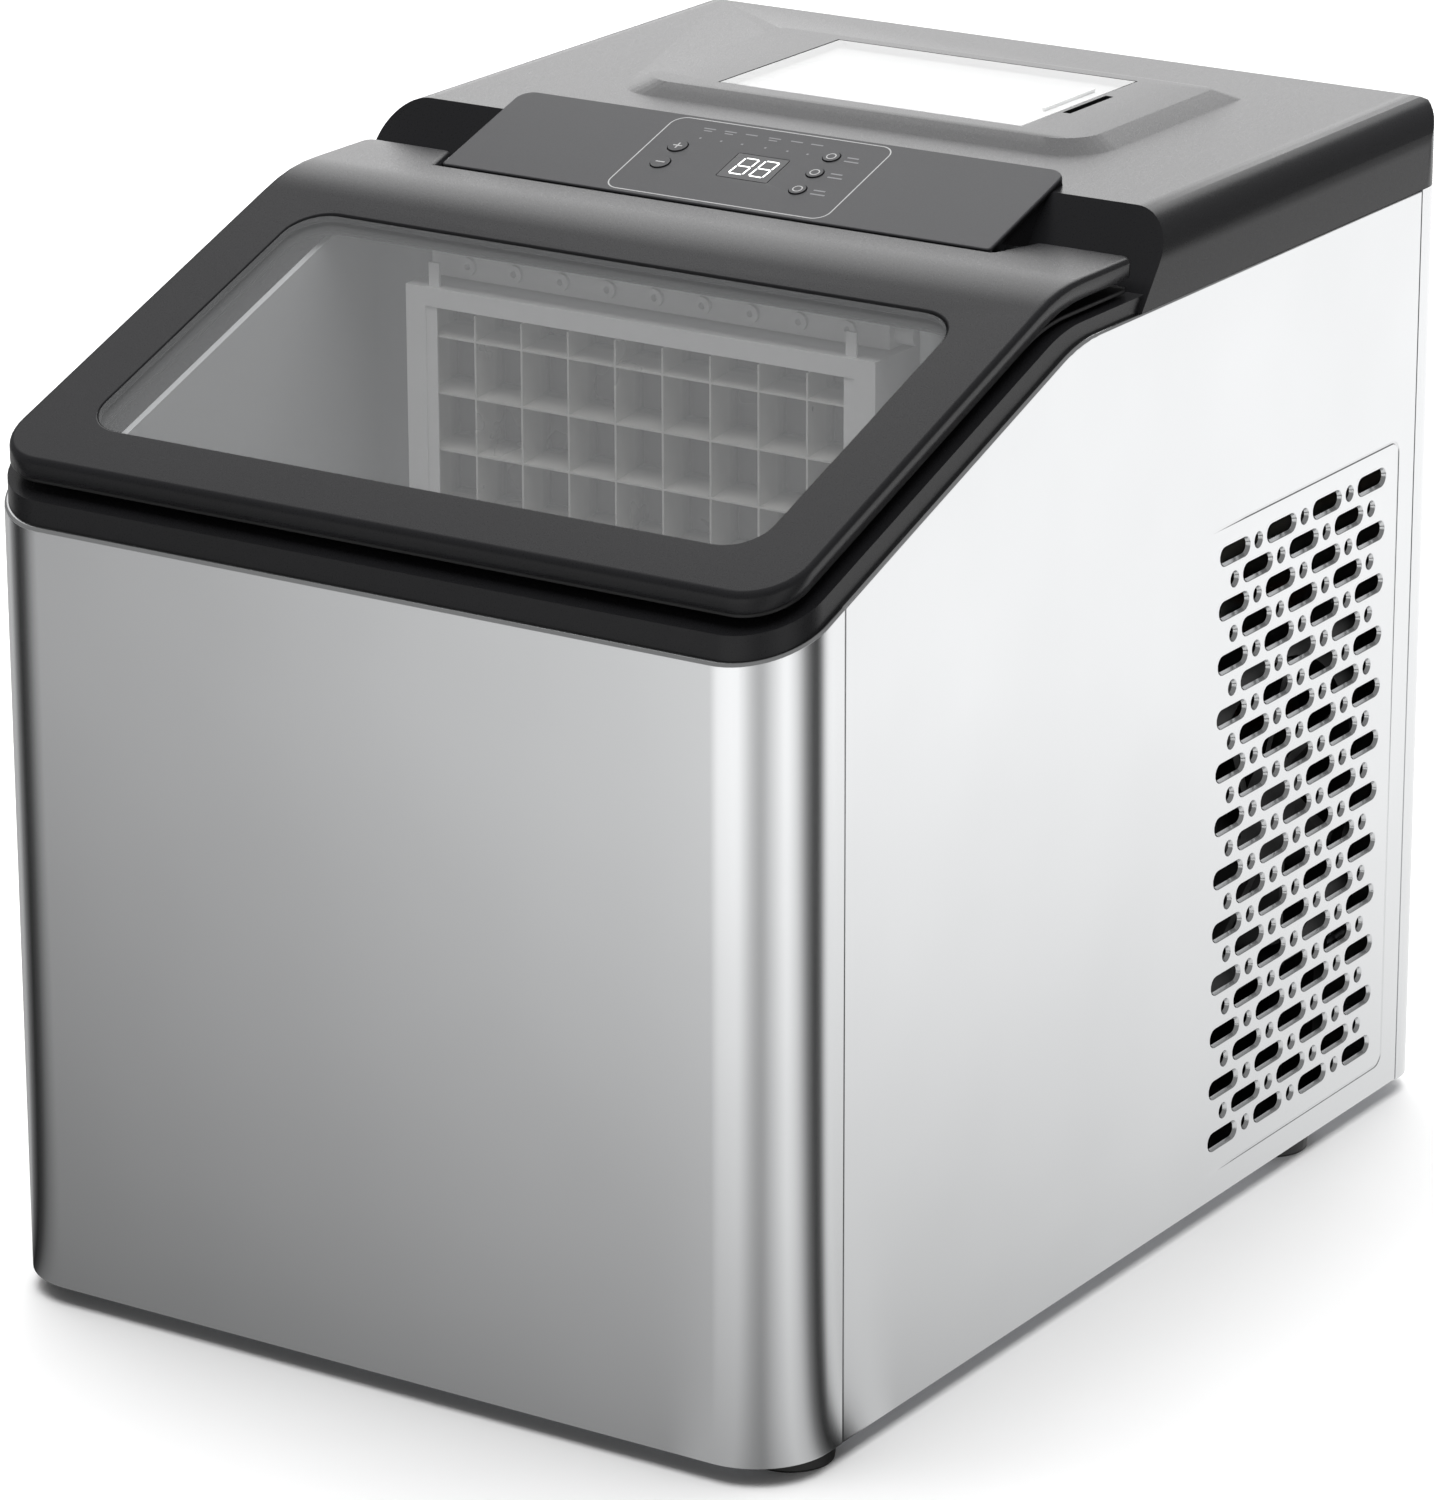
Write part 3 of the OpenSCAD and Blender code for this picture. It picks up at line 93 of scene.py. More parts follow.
def addNode(tree, kind, inputs=None, to=(), **settings):
    # One node with its settings; an input is a value or a node's socket, and "to" takes its first output
    made = tree.nodes.new(kind)
    for key, value in settings.items():
        setattr(made, key, value)
    for key, value in (inputs or {}).items():
        if isinstance(value, bpy.types.NodeSocket):
            tree.links.new(value, made.inputs[key])
        else:
            made.inputs[key].default_value = value
    for socket in to:
        tree.links.new([o for o in made.outputs if o.enabled][0], socket)
    return made


def makeFinish(name, dark, light, roughness, grain=0.35, depth=0.01, cloud=70, swing=0.04, **sockets):
    # Two close tones in slow clouds, and a fine grain that moves the shine and the surface.
    # grain and cloud are sizes in mm, one number or one for each axis; depth is the grain's height in mm
    made = bpy.data.materials.new(name)
    made.use_nodes = True
    tree = made.node_tree
    shader = tree.nodes["Principled BSDF"]
    names = {socket.name.replace(" ", ""): socket for socket in shader.inputs}
    for key, value in sockets.items():
        names[key].default_value = value
    coords = addNode(tree, "ShaderNodeTexCoord").outputs["Object"]
    noises = []
    for size in (cloud, grain):
        waves = [1 / (v * mm) for v in (size if isinstance(size, tuple) else (size,) * 3)]
        mapped = addNode(tree, "ShaderNodeMapping", {"Vector": coords, "Scale": waves})
        noises.append(addNode(tree, "ShaderNodeTexNoise", {
            "Vector": mapped.outputs["Vector"], "Scale": 1.0, "Detail": 2.0}).outputs["Fac"])
    addNode(tree, "ShaderNodeMix", {0: noises[0], 6: hexColour(dark), 7: hexColour(light)},
            [shader.inputs["Base Color"]], data_type="RGBA")
    addNode(tree, "ShaderNodeMapRange", {
        "Value": noises[1], "From Min": 0.3, "From Max": 0.7, "To Min": roughness - swing,
        "To Max": roughness + swing}, [shader.inputs["Roughness"]])
    if depth:
        addNode(tree, "ShaderNodeBump", {"Height": noises[1], "Distance": depth * mm,
                                         "Strength": 1.0}, [shader.inputs["Normal"]])
    return made


finishes = {
    # Cold-rolled stainless with a lacquered satin grain upright: smooth broad reflections.
    # The grain is drawn 0.5 mm apart, because the real 0.1 mm wouldn't show
    "steel": makeFinish("satinStainless", "#CBCCCD", "#D3D4D5", 0.19, (0.5, 0.5, 60), 0.0015,
                        swing=0.012, Metallic=1.0),
    # Zinc-plated steel sheet: a dull grey shine with a broken spangle
    "zinc": makeFinish("zincPlatedSheet", "#8C8E92", "#A9ABAF", 0.38, 2, 0.004, 12, Metallic=1.0),
    # Charcoal ABS from a spark-eroded mould: even colour and a soft sheen.
    # Here and in the other mouldings the grain is drawn at 0.35 mm, coarser than the real 0.1 mm
    "dark_plastic": makeFinish("mouldedAbsCharcoal", "#1A1A1B", "#1D1D1F", 0.3,
                               SpecularIORLevel=0.17),
    # The same plastic with a finer matt texture for the printed plate
    "panel_plastic": makeFinish("mouldedAbsPanel", "#303032", "#343436", 0.42, SpecularIORLevel=0.3),
    # Black ABS inside and underneath: matt, nearly without a shine
    "black_plastic": makeFinish("mouldedAbsBlack", "#101011", "#151516", 0.45, SpecularIORLevel=0.3),
    # Smoked polycarbonate: see-through with a grey veil and a faint flow pattern
    "clear": makeFinish("smokedPolycarbonate", "#9A9B9C", "#9FA0A1", 0.1, 60, 0, swing=0.03,
                        Alpha=0.15, SpecularIORLevel=0.17),
    # Clear polycarbonate with a frosted inside: pale and milky over the tank
    "tank_clear": makeFinish("clearPolycarbonate", "#FAFBFB", "#FFFFFF", 0.25, 60, 0, swing=0.03,
                             Alpha=0.35, SpecularIORLevel=0.3),
    # Cast acrylic, tinted dark so that only lit segments show
    "display": makeFinish("glossAcrylic", "#2C2C2E", "#303032", 0.3, 60, 0, SpecularIORLevel=0.3),
    # Injection-moulded polypropylene: white, slightly waxy
    "white_plastic": makeFinish("mouldedPolypropylene", "#E0E0E0", "#E6E6E6", 0.4, SpecularIORLevel=0.3),
    # Vacuum-formed sheet: pale grey with a faint orange peel
    "liner_plastic": makeFinish("thermoformedLiner", "#B6B7B8", "#BDBEBF", 0.35, 3, 0.005,
                                SpecularIORLevel=0.3),
    # Expanded polystyrene: matt beads of about 4 mm
    "foam": makeFinish("expandedPolystyrene", "#E2E0D6", "#F1EFE6", 0.85, 4, 0.25),
    # Moulded rubber: black and matt with a fine grain
    "rubber": makeFinish("mouldedRubber", "#101010", "#171717", 0.62, 0.6, 0.02),
    # Extruded silicone hose: milky grey, soft shine
    "silicone": makeFinish("siliconeHose", "#C9CCCC", "#D6D9D9", 0.35),
    # Dull electroless nickel over copper: pale and warm, half a mirror
    "nickel": makeFinish("nickelPlatedCells", "#D6D5D1", "#E2E1DE", 0.3, 20, 0, 30, Metallic=0.4),
    # Drawn copper tube: warm streaks of tarnish along it
    "copper": makeFinish("drawnCopperTube", "#9A5A3E", "#B9704C", 0.3, 5, 0.004, 20, Metallic=1.0),
    # Rolled aluminium fin stock: bright and slightly cloudy
    "aluminium": makeFinish("aluminiumFinStock", "#A9ABAD", "#C3C5C7", 0.34, 3, 0.004, 20, Metallic=1.0),
    # Dipped black enamel: glossy with a slight wave
    "compressor_paint": makeFinish("blackEnamel", "#0C0C0C", "#121212", 0.25, 2.5, 0.03),
    # Solder mask over glass-fibre board: dark green, half gloss
    "board": makeFinish("solderMaskGreen", "#0F4A26", "#165A30", 0.3, 1.5, 0.02),
    # Bright zinc on turned steel: small hard glints
    "screw": makeFinish("zincPlatedSteel", "#8D8F93", "#A6A8AC", 0.3, 2, 0.004, 8, Metallic=1.0),
}
# Painted shade: the cells' plating is darkened over the last millimetres before the back plate, where the
# cells lie deep in shade
cells = {"stain": "#3A3A38", "strength": 0.75, "starts": 6 * mm, "full": 1.5 * mm}
cellsTree = finishes["nickel"].node_tree
cellsShader = cellsTree.nodes["Principled BSDF"]
cellsPlace = addNode(cellsTree, "ShaderNodeTexCoord").outputs["Object"]
cellsDepth = addNode(cellsTree, "ShaderNodeSeparateXYZ", {"Vector": cellsPlace}).outputs["Y"]
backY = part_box("ice_grid")[1].y
# Painted shade mask: grows from none to full strength towards the back plate
stain = addNode(cellsTree, "ShaderNodeMapRange", {
    "Value": cellsDepth, "From Min": backY - cells["starts"], "From Max": backY - cells["full"],
    "To Min": 0.0, "To Max": cells["strength"]}).outputs["Result"]
plating = cellsShader.inputs["Base Color"].links[0].from_socket
addNode(cellsTree, "ShaderNodeMix", {0: stain, 6: plating, 7: hexColour(cells["stain"])},
        [cellsShader.inputs["Base Color"]], data_type="RGBA")
recordSlots = {s["node"]: s["material_slot"] for s in frame["record"]["subparts"]}
for nodeName, part in nodes.items():
    part.data.materials.clear()
    part.data.materials.append(finishes[recordSlots[nodeName]])
    part.data.polygons.foreach_set("material_index", [0] * len(part.data.polygons))

# Screen-printed ink, and digits whose pale plastic is lit from behind
ink = makeFinish("whiteScreenInk", "#9A9A9A", "#A2A2A2", 0.5, depth=0)
faintInk = makeFinish("greyScreenInk", "#6E6E70", "#747476", 0.5, depth=0)
lit = makeFinish("litDisplaySegment", "#F4F4F4", "#FFFFFF", 0.4, depth=0,
                 EmissionColor=hexColour("#FFFFFF"), EmissionStrength=1.2)

print("materials made:", len(bpy.data.materials))


def roundedPolygon(corners, radii, steps=8):
    # Closed outline whose corners are arcs: centre + r (cos a, sin a) between the tangent points
    corners = np.array(corners, float)
    made = []
    for i, (corner, radius) in enumerate(zip(corners, radii)):
        before = corners[i - 1] - corner
        after = corners[(i + 1) % len(corners)] - corner
        before /= np.linalg.norm(before)
        after /= np.linalg.norm(after)
        halfAngle = np.arccos(np.clip(before @ after, -1, 1)) / 2
        if radius < 1e-7 or halfAngle > radians(89.9):
            made.append(corner[None])
            continue
        reach = radius / np.tan(halfAngle)
        centre = corner + (before + after) / np.linalg.norm(before + after) * radius / np.sin(halfAngle)
        start = corner + before * reach - centre
        end = corner + after * reach - centre
        turn = np.arctan2(start[0] * end[1] - start[1] * end[0], start @ end)
        first = np.arctan2(start[1], start[0])
        count = max(2, int(np.ceil(steps * abs(turn) / (pi / 2)))) + 1
        angle = first + turn * np.linspace(0, 1, count)
        made.append(centre + radius * np.stack([np.cos(angle), np.sin(angle)], 1))
    return np.concatenate(made)


def splitLong(outline, longest):
    # Adds points so that no side of a closed outline is longer than a given length
    ends = np.roll(outline, -1, 0)
    counts = np.maximum(1, np.ceil(np.linalg.norm(ends - outline, axis=1) / longest).astype(int))
    return np.concatenate([a + (b - a) * np.arange(n)[:, None] / n
                           for a, b, n in zip(outline, ends, counts)])


def outward(outline):
    # Unit normals of a closed outline that runs anticlockwise
    edge = np.roll(outline, -1, 0) - outline
    edge /= np.linalg.norm(edge, axis=1)[:, None]
    normal = np.stack([edge[:, 1], -edge[:, 0]], 1)
    mean = normal + np.roll(normal, 1, 0)
    mean /= np.linalg.norm(mean, axis=1)[:, None]
    share = (mean * normal).sum(1)
    return mean / np.maximum(share, 0.5)[:, None]


def gridFaces(rows, cols, closed=False, first=0):
    # Quads of a grid of rows by cols points; closed joins the last row to the first
    r = np.arange(rows if closed else rows - 1)[:, None]
    c = np.arange(cols - 1)[None]
    nextRow = (r + 1) % rows
    quads = np.stack([r * cols + c, nextRow * cols + c, nextRow * cols + c + 1, r * cols + c + 1], -1)
    return (quads.reshape(-1, 4) + first).tolist()


def makePiece(name, points, faces, finish, bodyName, replaced=(), smooth=True, merge=0.0):
    # Mesh object at the origin that rides on a body
    data = bpy.data.meshes.new(name)
    data.from_pydata(np.asarray(points).tolist(), [], faces)
    if merge:
        worked = bmesh.new()
        worked.from_mesh(data)
        bmesh.ops.remove_doubles(worked, verts=worked.verts, dist=merge)
        worked.to_mesh(data)
        worked.free()
    data.update()
    data.validate()
    data.polygons.foreach_set("use_smooth", [smooth] * len(data.polygons))
    data.materials.append(finish)
    made = bpy.data.objects.new(name, data)
    bpy.context.scene.collection.objects.link(made)
    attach(made, bodyName)
    if replaced:
        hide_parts(*replaced)
    return made


def addModifier(piece, kind, **settings):
    made = piece.modifiers.new(kind.lower(), kind)
    for key, value in settings.items():
        setattr(made, key, value)
    return made


def lipProfile(radius, depth, foldBack=0.0, steps=4):
    # Quarter round, then straight down, then back: pairs of (outward, down)
    angle = np.linspace(0, pi / 2, steps + 1)
    pairs = [(radius * sin(a), radius * (1 - cos(a))) for a in angle]
    pairs.append((radius, depth))
    if foldBack:
        pairs.append((radius - foldBack, depth))
    return np.array(pairs)


def pressedSheet(rims, place, lines=()):
    # Web between outlines, with each outline's profile carried round it.
    # rims: (anticlockwise outline, +1 outer or -1 hole, profile of (outward, down) pairs)
    # place turns points of the sheet and their depth below it into space
    flat, edges, points, faces = [], [], [], []
    count = 0
    for outline, side, profile in rims:
        size = len(outline)
        edges += [(count + i, count + (i + 1) % size) for i in range(size)]
        flat.append(outline)
        count += size
    for start, end in lines:
        flat.append(np.array([start, end]))
        edges.append((count, count + 1))
        count += 2
    flat = np.concatenate(flat)
    made = delaunay_2d_cdt([Vector(p) for p in flat], edges, [], 1, 1e-9)
    webPoints = np.array([tuple(v) for v in made[0]])
    triangles = np.array(made[2])
    centres = webPoints[triangles].mean(1)
    keep = np.ones(len(triangles), bool)
    for outline, side, profile in rims:
        inside = insideOutline(centres, outline)
        keep &= inside if side > 0 else ~inside
    points.append(place(webPoints, np.zeros(len(webPoints))))
    faces += triangles[keep].tolist()
    first = len(webPoints)
    for outline, side, profile in rims:
        normal = outward(outline) * side
        rings = outline[:, None] + normal[:, None] * profile[None, :, :1]
        depth = np.broadcast_to(profile[None, :, 1], rings.shape[:2])
        points.append(place(rings.reshape(-1, 2), depth.ravel()))
        quads = gridFaces(len(outline), len(profile), True, first)
        faces += [q[::-1] for q in quads] if side > 0 else quads
        first += len(outline) * len(profile)
    return np.concatenate(points), faces


def insideOutline(points, outline):
    # Even-odd test of points against a closed outline
    low, high = outline.min(0), outline.max(0)
    inside = ((points > low) & (points < high)).all(1)
    near = np.flatnonzero(inside)
    if len(near) == 0:
        return inside
    p = points[near][:, None]
    a = outline[None]
    b = np.roll(outline, -1, 0)[None]
    crosses = (a[..., 1] > p[..., 1]) != (b[..., 1] > p[..., 1])
    rise = np.where(np.abs(b[..., 1] - a[..., 1]) < 1e-12, 1e-12, b[..., 1] - a[..., 1])
    reach = a[..., 0] + (p[..., 1] - a[..., 1]) * (b[..., 0] - a[..., 0]) / rise
    inside[near] = (crosses & (p[..., 0] < reach)).sum(1) % 2 == 1
    return inside


body = {
    "slope": 20.0,  # degrees
    "frontHeight": 230.6 * mm,  # steel's top edge at the front
    "bendRadius": 53 * mm,
    "frontRadius": 22.5 * mm,
    "sheet": 0.8 * mm,
    "fold": 2.5 * mm,  # edge fold with the sheet itself
    "bottomFold": 8 * mm,
    "edgeRound": 0.9 * mm,
    "seamRound": 0.5 * mm,
}
frontLow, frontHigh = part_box("front_panel")
sideLow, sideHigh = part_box("right_panel")
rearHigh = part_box("rear_panel")[1]
halfWidth = frontHigh.x
frontY = frontLow.y
rearY = rearHigh.y
footHeight = frontLow.z
levelHeight = rearHigh.z


def lineHeight(y, low, high, radius):
    # Height of a line that rises at the slope from low at the front plane, bends and runs level at high
    slope = tan(radians(body["slope"]))
    meet = frontY + (high - low) / slope
    run = radius * tan(radians(body["slope"]) / 2)
    bent = high - radius + np.sqrt(np.maximum(radius ** 2 - (y - meet - run) ** 2, 0))
    sloping = low + (y - frontY) * slope
    startBend = meet + run - radius * sin(radians(body["slope"]))
    return np.where(y < startBend, sloping, np.where(y < meet + run, bent, high))


def steelTop(y):
    return lineHeight(y, body["frontHeight"], levelHeight, body["bendRadius"])


def bendDepths(low, high, radius, count=10):
    # Depths at which a line's bend is divided
    slope = radians(body["slope"])
    end = frontY + (high - low) / tan(slope) + radius * tan(slope / 2)
    return end - radius * np.sin(slope * np.linspace(1, 0, count))


def carriedSheet(path, normal, top, bottom, bottomFold):
    # Sheet whose profile (fold, round, wall, round, fold) is carried along a plan path
    r, s = body["edgeRound"], body["seamRound"]
    turn = np.linspace(0, pi / 2, 5)
    insets = np.concatenate([[bottomFold], s * (1 - np.sin(turn)), r * (1 - np.cos(turn)), [body["fold"]]])
    share = np.concatenate([np.zeros(6), np.ones(6)])
    lift = np.concatenate([[0], s * (1 - np.cos(turn)), -r * (1 - np.sin(turn)), [0]])
    plan = path[:, None] - normal[:, None] * insets[None, :, None]
    height = np.where(share > 0.5, top(plan[..., 1]), bottom) + lift
    return np.concatenate([plan, height[..., None]], 2)


def frontPath():
    # From the right seam round the two front corners to the left seam
    r = body["frontRadius"]
    seam = frontHigh.y
    turn = np.linspace(0, pi / 2, 17)
    right = np.stack([halfWidth - r + r * np.cos(turn), frontY + r - r * np.sin(turn)], 1)
    left = right[::-1] * (-1, 1)
    path = np.concatenate([[[halfWidth, seam]], right, left, [[-halfWidth, seam]]])
    normal = np.concatenate([[[1, 0]], np.stack([np.cos(turn), -np.sin(turn)], 1),
                             np.stack([-np.cos(turn), -np.sin(turn)], 1)[::-1], [[-1, 0]]])
    return path, normal


def makeFront():
    # Wrap-round front: the sheet's profile carried round the plan path, seam to seam
    path, normal = frontPath()
    grid = carriedSheet(path, normal, steelTop, footHeight, body["bottomFold"])
    faces = [f[::-1] for f in gridFaces(grid.shape[0], grid.shape[1])]
    made = makePiece("frontSheet", grid.reshape(-1, 3), faces, finishes["steel"], "cabinet",
                     ["front_panel"])
    addModifier(made, "SOLIDIFY", thickness=body["sheet"], offset=-1)
    addModifier(made, "WEIGHTED_NORMAL", keep_sharp=True)


makeFront()

vents = {
    "cols": 7, "rows": 23,
    "colStep": 13.73 * mm, "rowStep": 8.12 * mm,
    "slotLength": 18.0 * mm, "slotWidth": 6.2 * mm, "holeWidth": 5.3 * mm,  # over the pressed rim
    "fromRear": 44.2 * mm, "low": 24 * mm,
    "lip": 0.25 * mm, "rimInset": 0.8 * mm, "rimDepth": 1.2 * mm,
}
groove = {"front": 42.7 * mm, "rear": 154.8 * mm, "low": 14.5 * mm, "high": 211.5 * mm,
          "round": 4 * mm, "width": 1.1 * mm, "depth": 0.4 * mm}


def capsule(centre, length, width, count):
    # Slot outline: two half circles of the slot's width, anticlockwise
    half = (length - width) / 2
    turn = np.linspace(-pi / 2, pi / 2, count)
    ring = np.stack([np.cos(turn), np.sin(turn)], 1) * width / 2
    if half < 1e-6:
        turn = np.linspace(0, 2 * pi, 2 * count, endpoint=False)
        return centre + np.stack([np.cos(turn), np.sin(turn)], 1) * width / 2
    return np.concatenate([centre + (half, 0) + ring, centre - (half, 0) - ring])


def sideOutline():
    # Side view of the panel, anticlockwise: depth and height
    bend = bendDepths(body["frontHeight"], levelHeight, body["bendRadius"])
    inset = body["edgeRound"]
    low, high = sideLow.y + body["seamRound"], sideHigh.y - body["seamRound"]
    top = [(y, steelTop(y) - inset) for y in [high, *bend[::-1], low]]
    return np.array([(low, footHeight + inset), (high, footHeight + inset), *top])


def grooveGrid():
    # Pressed line round the vents, open to the front: a V section carried along a path.
    # Gives depth, height and sink of its points, with the sink fading out at both ends
    corner = np.linspace(0, pi / 2, 9)
    r = groove["round"]
    path = np.concatenate([
        np.stack([np.linspace(groove["front"], groove["rear"] - r, 12), np.full(12, groove["low"])], 1),
        np.stack([groove["rear"] - r + r * np.sin(corner), groove["low"] + r - r * np.cos(corner)], 1)[1:],
        np.stack([groove["rear"] - r + r * np.cos(corner), groove["high"] - r + r * np.sin(corner)], 1),
        np.stack([np.linspace(groove["rear"] - r, groove["front"], 12), np.full(12, groove["high"])],
                 1)[1:]])
    along = np.gradient(path, axis=0)
    along /= np.linalg.norm(along, axis=1)[:, None]
    across = np.stack([along[:, 1], -along[:, 0]], 1)
    step = np.array([1, 0.75, 0, -0.75, -1]) * groove["width"] / 2
    flat = path[:, None] + across[:, None] * step[None, :, None]
    fade = np.clip(np.minimum(np.arange(len(path)), np.arange(len(path))[::-1]) / 2, 0, 1)
    sink = fade[:, None] * np.array([0, 0.12, 1, 0.12, 0])[None] * groove["depth"]
    return flat, sink


def makeSide(name, side, replaced):
    # Flat side at half the width: outline, vents with drawn-in rims, and the pressed line
    rim = np.concatenate([lipProfile(vents["lip"], vents["lip"], steps=3)[:-1],
                          [(vents["rimInset"], vents["rimDepth"])]])
    rims = [(sideOutline(), 1, lipProfile(body["edgeRound"], body["fold"]))]
    lastCol = rearY - vents["fromRear"]
    for row in range(vents["rows"]):
        for col in range(vents["cols"]):
            centre = np.array([lastCol - (vents["cols"] - 1 - col) * vents["colStep"],
                               vents["low"] + row * vents["rowStep"]])
            if (row + col) % 2 == 0:
                outline = capsule(centre, vents["slotLength"], vents["slotWidth"], 8)
            else:
                outline = capsule(centre, 0, vents["holeWidth"], 8)
            rims.append((outline, -1, rim))
    flat, sink = grooveGrid()
    rims.append((np.concatenate([flat[:, 0], flat[::-1, -1]]), -1, np.zeros((1, 2))))

    def place(flat, depth):
        return np.stack([side * (halfWidth - depth), flat[:, 0], flat[:, 1]], 1)

    points, faces = pressedSheet(rims, place)
    faces += gridFaces(*flat.shape[:2], first=len(points))
    points = np.concatenate([points, place(flat.reshape(-1, 2), sink.ravel())])
    if side < 0:
        faces = [f[::-1] for f in faces]
    made = makePiece(name, points, faces, finishes["steel"], "cabinet", [replaced],
                     merge=0.001 * mm)
    addModifier(made, "WEIGHTED_NORMAL", keep_sharp=True, weight=90)


makeSide("rightSheet", 1, "right_panel")
makeSide("leftSheet", -1, "left_panel")
print("casing made")

lid = {
    "topFront": 247.9 * mm,  # top edge's height at the front plane
    "bendRadius": 64 * mm,
    "frontRound": 16 * mm,
    "edgeRound": 1.6 * mm,
    "skirt": 5.4 * mm,
    "notchHalf": 93 * mm, "notchFlare": 5.5 * mm, "notchDepth": 16.3 * mm,
    "windowSide": 19.7 * mm, "windowFront": 18.4 * mm, "windowRear": 8.2 * mm,
    "windowRound": 12 * mm, "windowGap": 0.5 * mm,
    "rearRounds": [2 * mm, 0.8 * mm, 2.5 * mm],  # rear corner, notch's mouth, notch's floor
    "rim": 2.4 * mm,  # sheet's depth round the window and its fold under the skirt
    "longest": 6 * mm,  # sides of the outlines
}
lidLow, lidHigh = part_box("lid_frame")


def lidTop(y):
    # Height of the lid's top at a depth
    return lineHeight(y, lid["topFront"], lidHigh.z, lid["bendRadius"])


def windowOutline(grow):
    # Outline of the window's opening in plan, grown outwards by a length
    slope = radians(body["slope"])
    half = lidHigh.x - lid["windowSide"] + grow
    bendStart = bendDepths(lid["topFront"], lidHigh.z, lid["bendRadius"])[0]
    low = lid["windowFront"] - grow
    high = (bendStart - lidLow.y) / cos(slope) - lid["windowRear"] + grow
    flat = roundedPolygon([(-half, low), (half, low), (half, high), (-half, high)],
                          [lid["windowRound"] + grow] * 4, 10)
    return np.stack([flat[:, 0], lidLow.y + flat[:, 1] * cos(slope)], 1)


def makeLid():
    # Plan outline with its notch, lifted to the lid's side line, with a rounded edge and a window
    edge = lid["edgeRound"]
    x, y0, y1 = lidHigh.x - edge, lidLow.y + edge, lidHigh.y - edge
    notchY = lidHigh.y - lid["notchDepth"] - edge
    n0 = lid["notchHalf"] + edge
    n1 = lid["notchHalf"] + lid["notchFlare"] + edge
    outline = roundedPolygon(
        [(-x, y0), (x, y0), (x, y1), (n1, y1), (n0, notchY), (-n0, notchY), (-n1, y1), (-x, y1)],
        [lid["frontRound"] - edge] * 2 + lid["rearRounds"] + lid["rearRounds"][::-1], 12)
    outline = splitLong(outline, lid["longest"])
    window = splitLong(windowOutline(lid["windowGap"]), lid["longest"])
    bends = bendDepths(lid["topFront"], lidHigh.z, lid["bendRadius"], 12)
    lines = [((-x + mm, y), (x - mm, y)) for y in bends]
    outer = lipProfile(edge, lid["skirt"], lid["rim"], 6)
    inner = lipProfile(lid["windowGap"], lid["rim"], steps=3)

    def place(flat, depth):
        return np.stack([flat[:, 0], flat[:, 1], lidTop(flat[:, 1]) - depth], 1)

    points, faces = pressedSheet([(outline, 1, outer), (window, -1, inner)], place, lines)
    made = makePiece("lidShell", points, faces, finishes["dark_plastic"], "lid",
                     ["lid_frame"], merge=0.001 * mm)
    addModifier(made, "WEIGHTED_NORMAL", keep_sharp=True, weight=80)


makeLid()
print("lid made")


def roundedCopy(name, nodeName, bodyName, width, angle=28, segments=2):
    # The node's own shape, joined up, with its sharp edges rounded
    worked = bmesh.new()
    worked.from_mesh(nodes[nodeName].data)
    bmesh.ops.remove_doubles(worked, verts=worked.verts, dist=0.002 * mm)
    bmesh.ops.dissolve_limit(worked, angle_limit=radians(0.6), verts=worked.verts, edges=worked.edges)
    data = bpy.data.meshes.new(name)
    worked.to_mesh(data)
    worked.free()
    data.polygons.foreach_set("use_smooth", [True] * len(data.polygons))
    slotName = recordSlots[nodeName]
    data.materials.clear()
    data.materials.append(finishes[slotName])
    made = bpy.data.objects.new(name, data)
    bpy.context.scene.collection.objects.link(made)
    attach(made, bodyName)
    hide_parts(nodeName)
    addModifier(made, "BEVEL", width=width, segments=segments, limit_method="ANGLE",
                angle_limit=radians(angle), harden_normals=False)
    addModifier(made, "WEIGHTED_NORMAL", keep_sharp=True, weight=80)


roundedCopy("coverMoulding", "top_cover", "cabinet", 0.7 * mm)
roundedCopy("lidInnerRing", "lid_inner_frame", "lid", 0.4 * mm)
roundedCopy("tankLidPlate", "tank_lid", "tank_lid", 0.3 * mm)
roundedCopy("evaporatorHousing", "evaporator_frame", "cabinet", 0.6 * mm)
roundedCopy("waterBarMoulding", "water_bar", "cabinet", 0.5 * mm)
print("mouldings rounded")

panel = {
    "tilt": 17.6,  # degrees
    "length": 44.3 * mm, "thickness": 1.6 * mm,
    "rearRound": 4.5 * mm,
    "stepX": -27.4 * mm, "modeX": 20.8 * mm,
    "stepV": [27.2 * mm, 17.7 * mm], "modeV": [33.4 * mm, 24.2 * mm, 14.7 * mm],
    "stepWidth": 5.8 * mm, "modeWidth": 5.0 * mm,
    "displayX": 1.3 * mm, "displayV": 22 * mm, "displayW": 17 * mm, "displayL": 13 * mm,
    "frameHalf": 37 * mm, "frameLow": 1.6 * mm, "frameHigh": 42.6 * mm, "frameRound": 4.5 * mm,
    "lineWidth": 0.4 * mm,
    "edgeRound": 0.5 * mm, "fold": 3 * mm, "cornerRound": 0.8 * mm,
    "buttonPlay": 0.8 * mm, "buttonLip": 0.15 * mm,  # play over the button's width
    "displayPlay": 0.3 * mm, "displayLip": 0.1 * mm,  # play on each side
}
panelLow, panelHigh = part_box("control_panel")


def onPanel(flat, depth):
    # Across, up the plate and below its surface, to space
    tilt = radians(panel["tilt"])
    front = panelHigh.z - panel["length"] * sin(tilt)
    return np.stack([flat[:, 0], panelLow.y + flat[:, 1] * cos(tilt) + depth * sin(tilt),
                     front + flat[:, 1] * sin(tilt) - depth * cos(tilt)], 1)


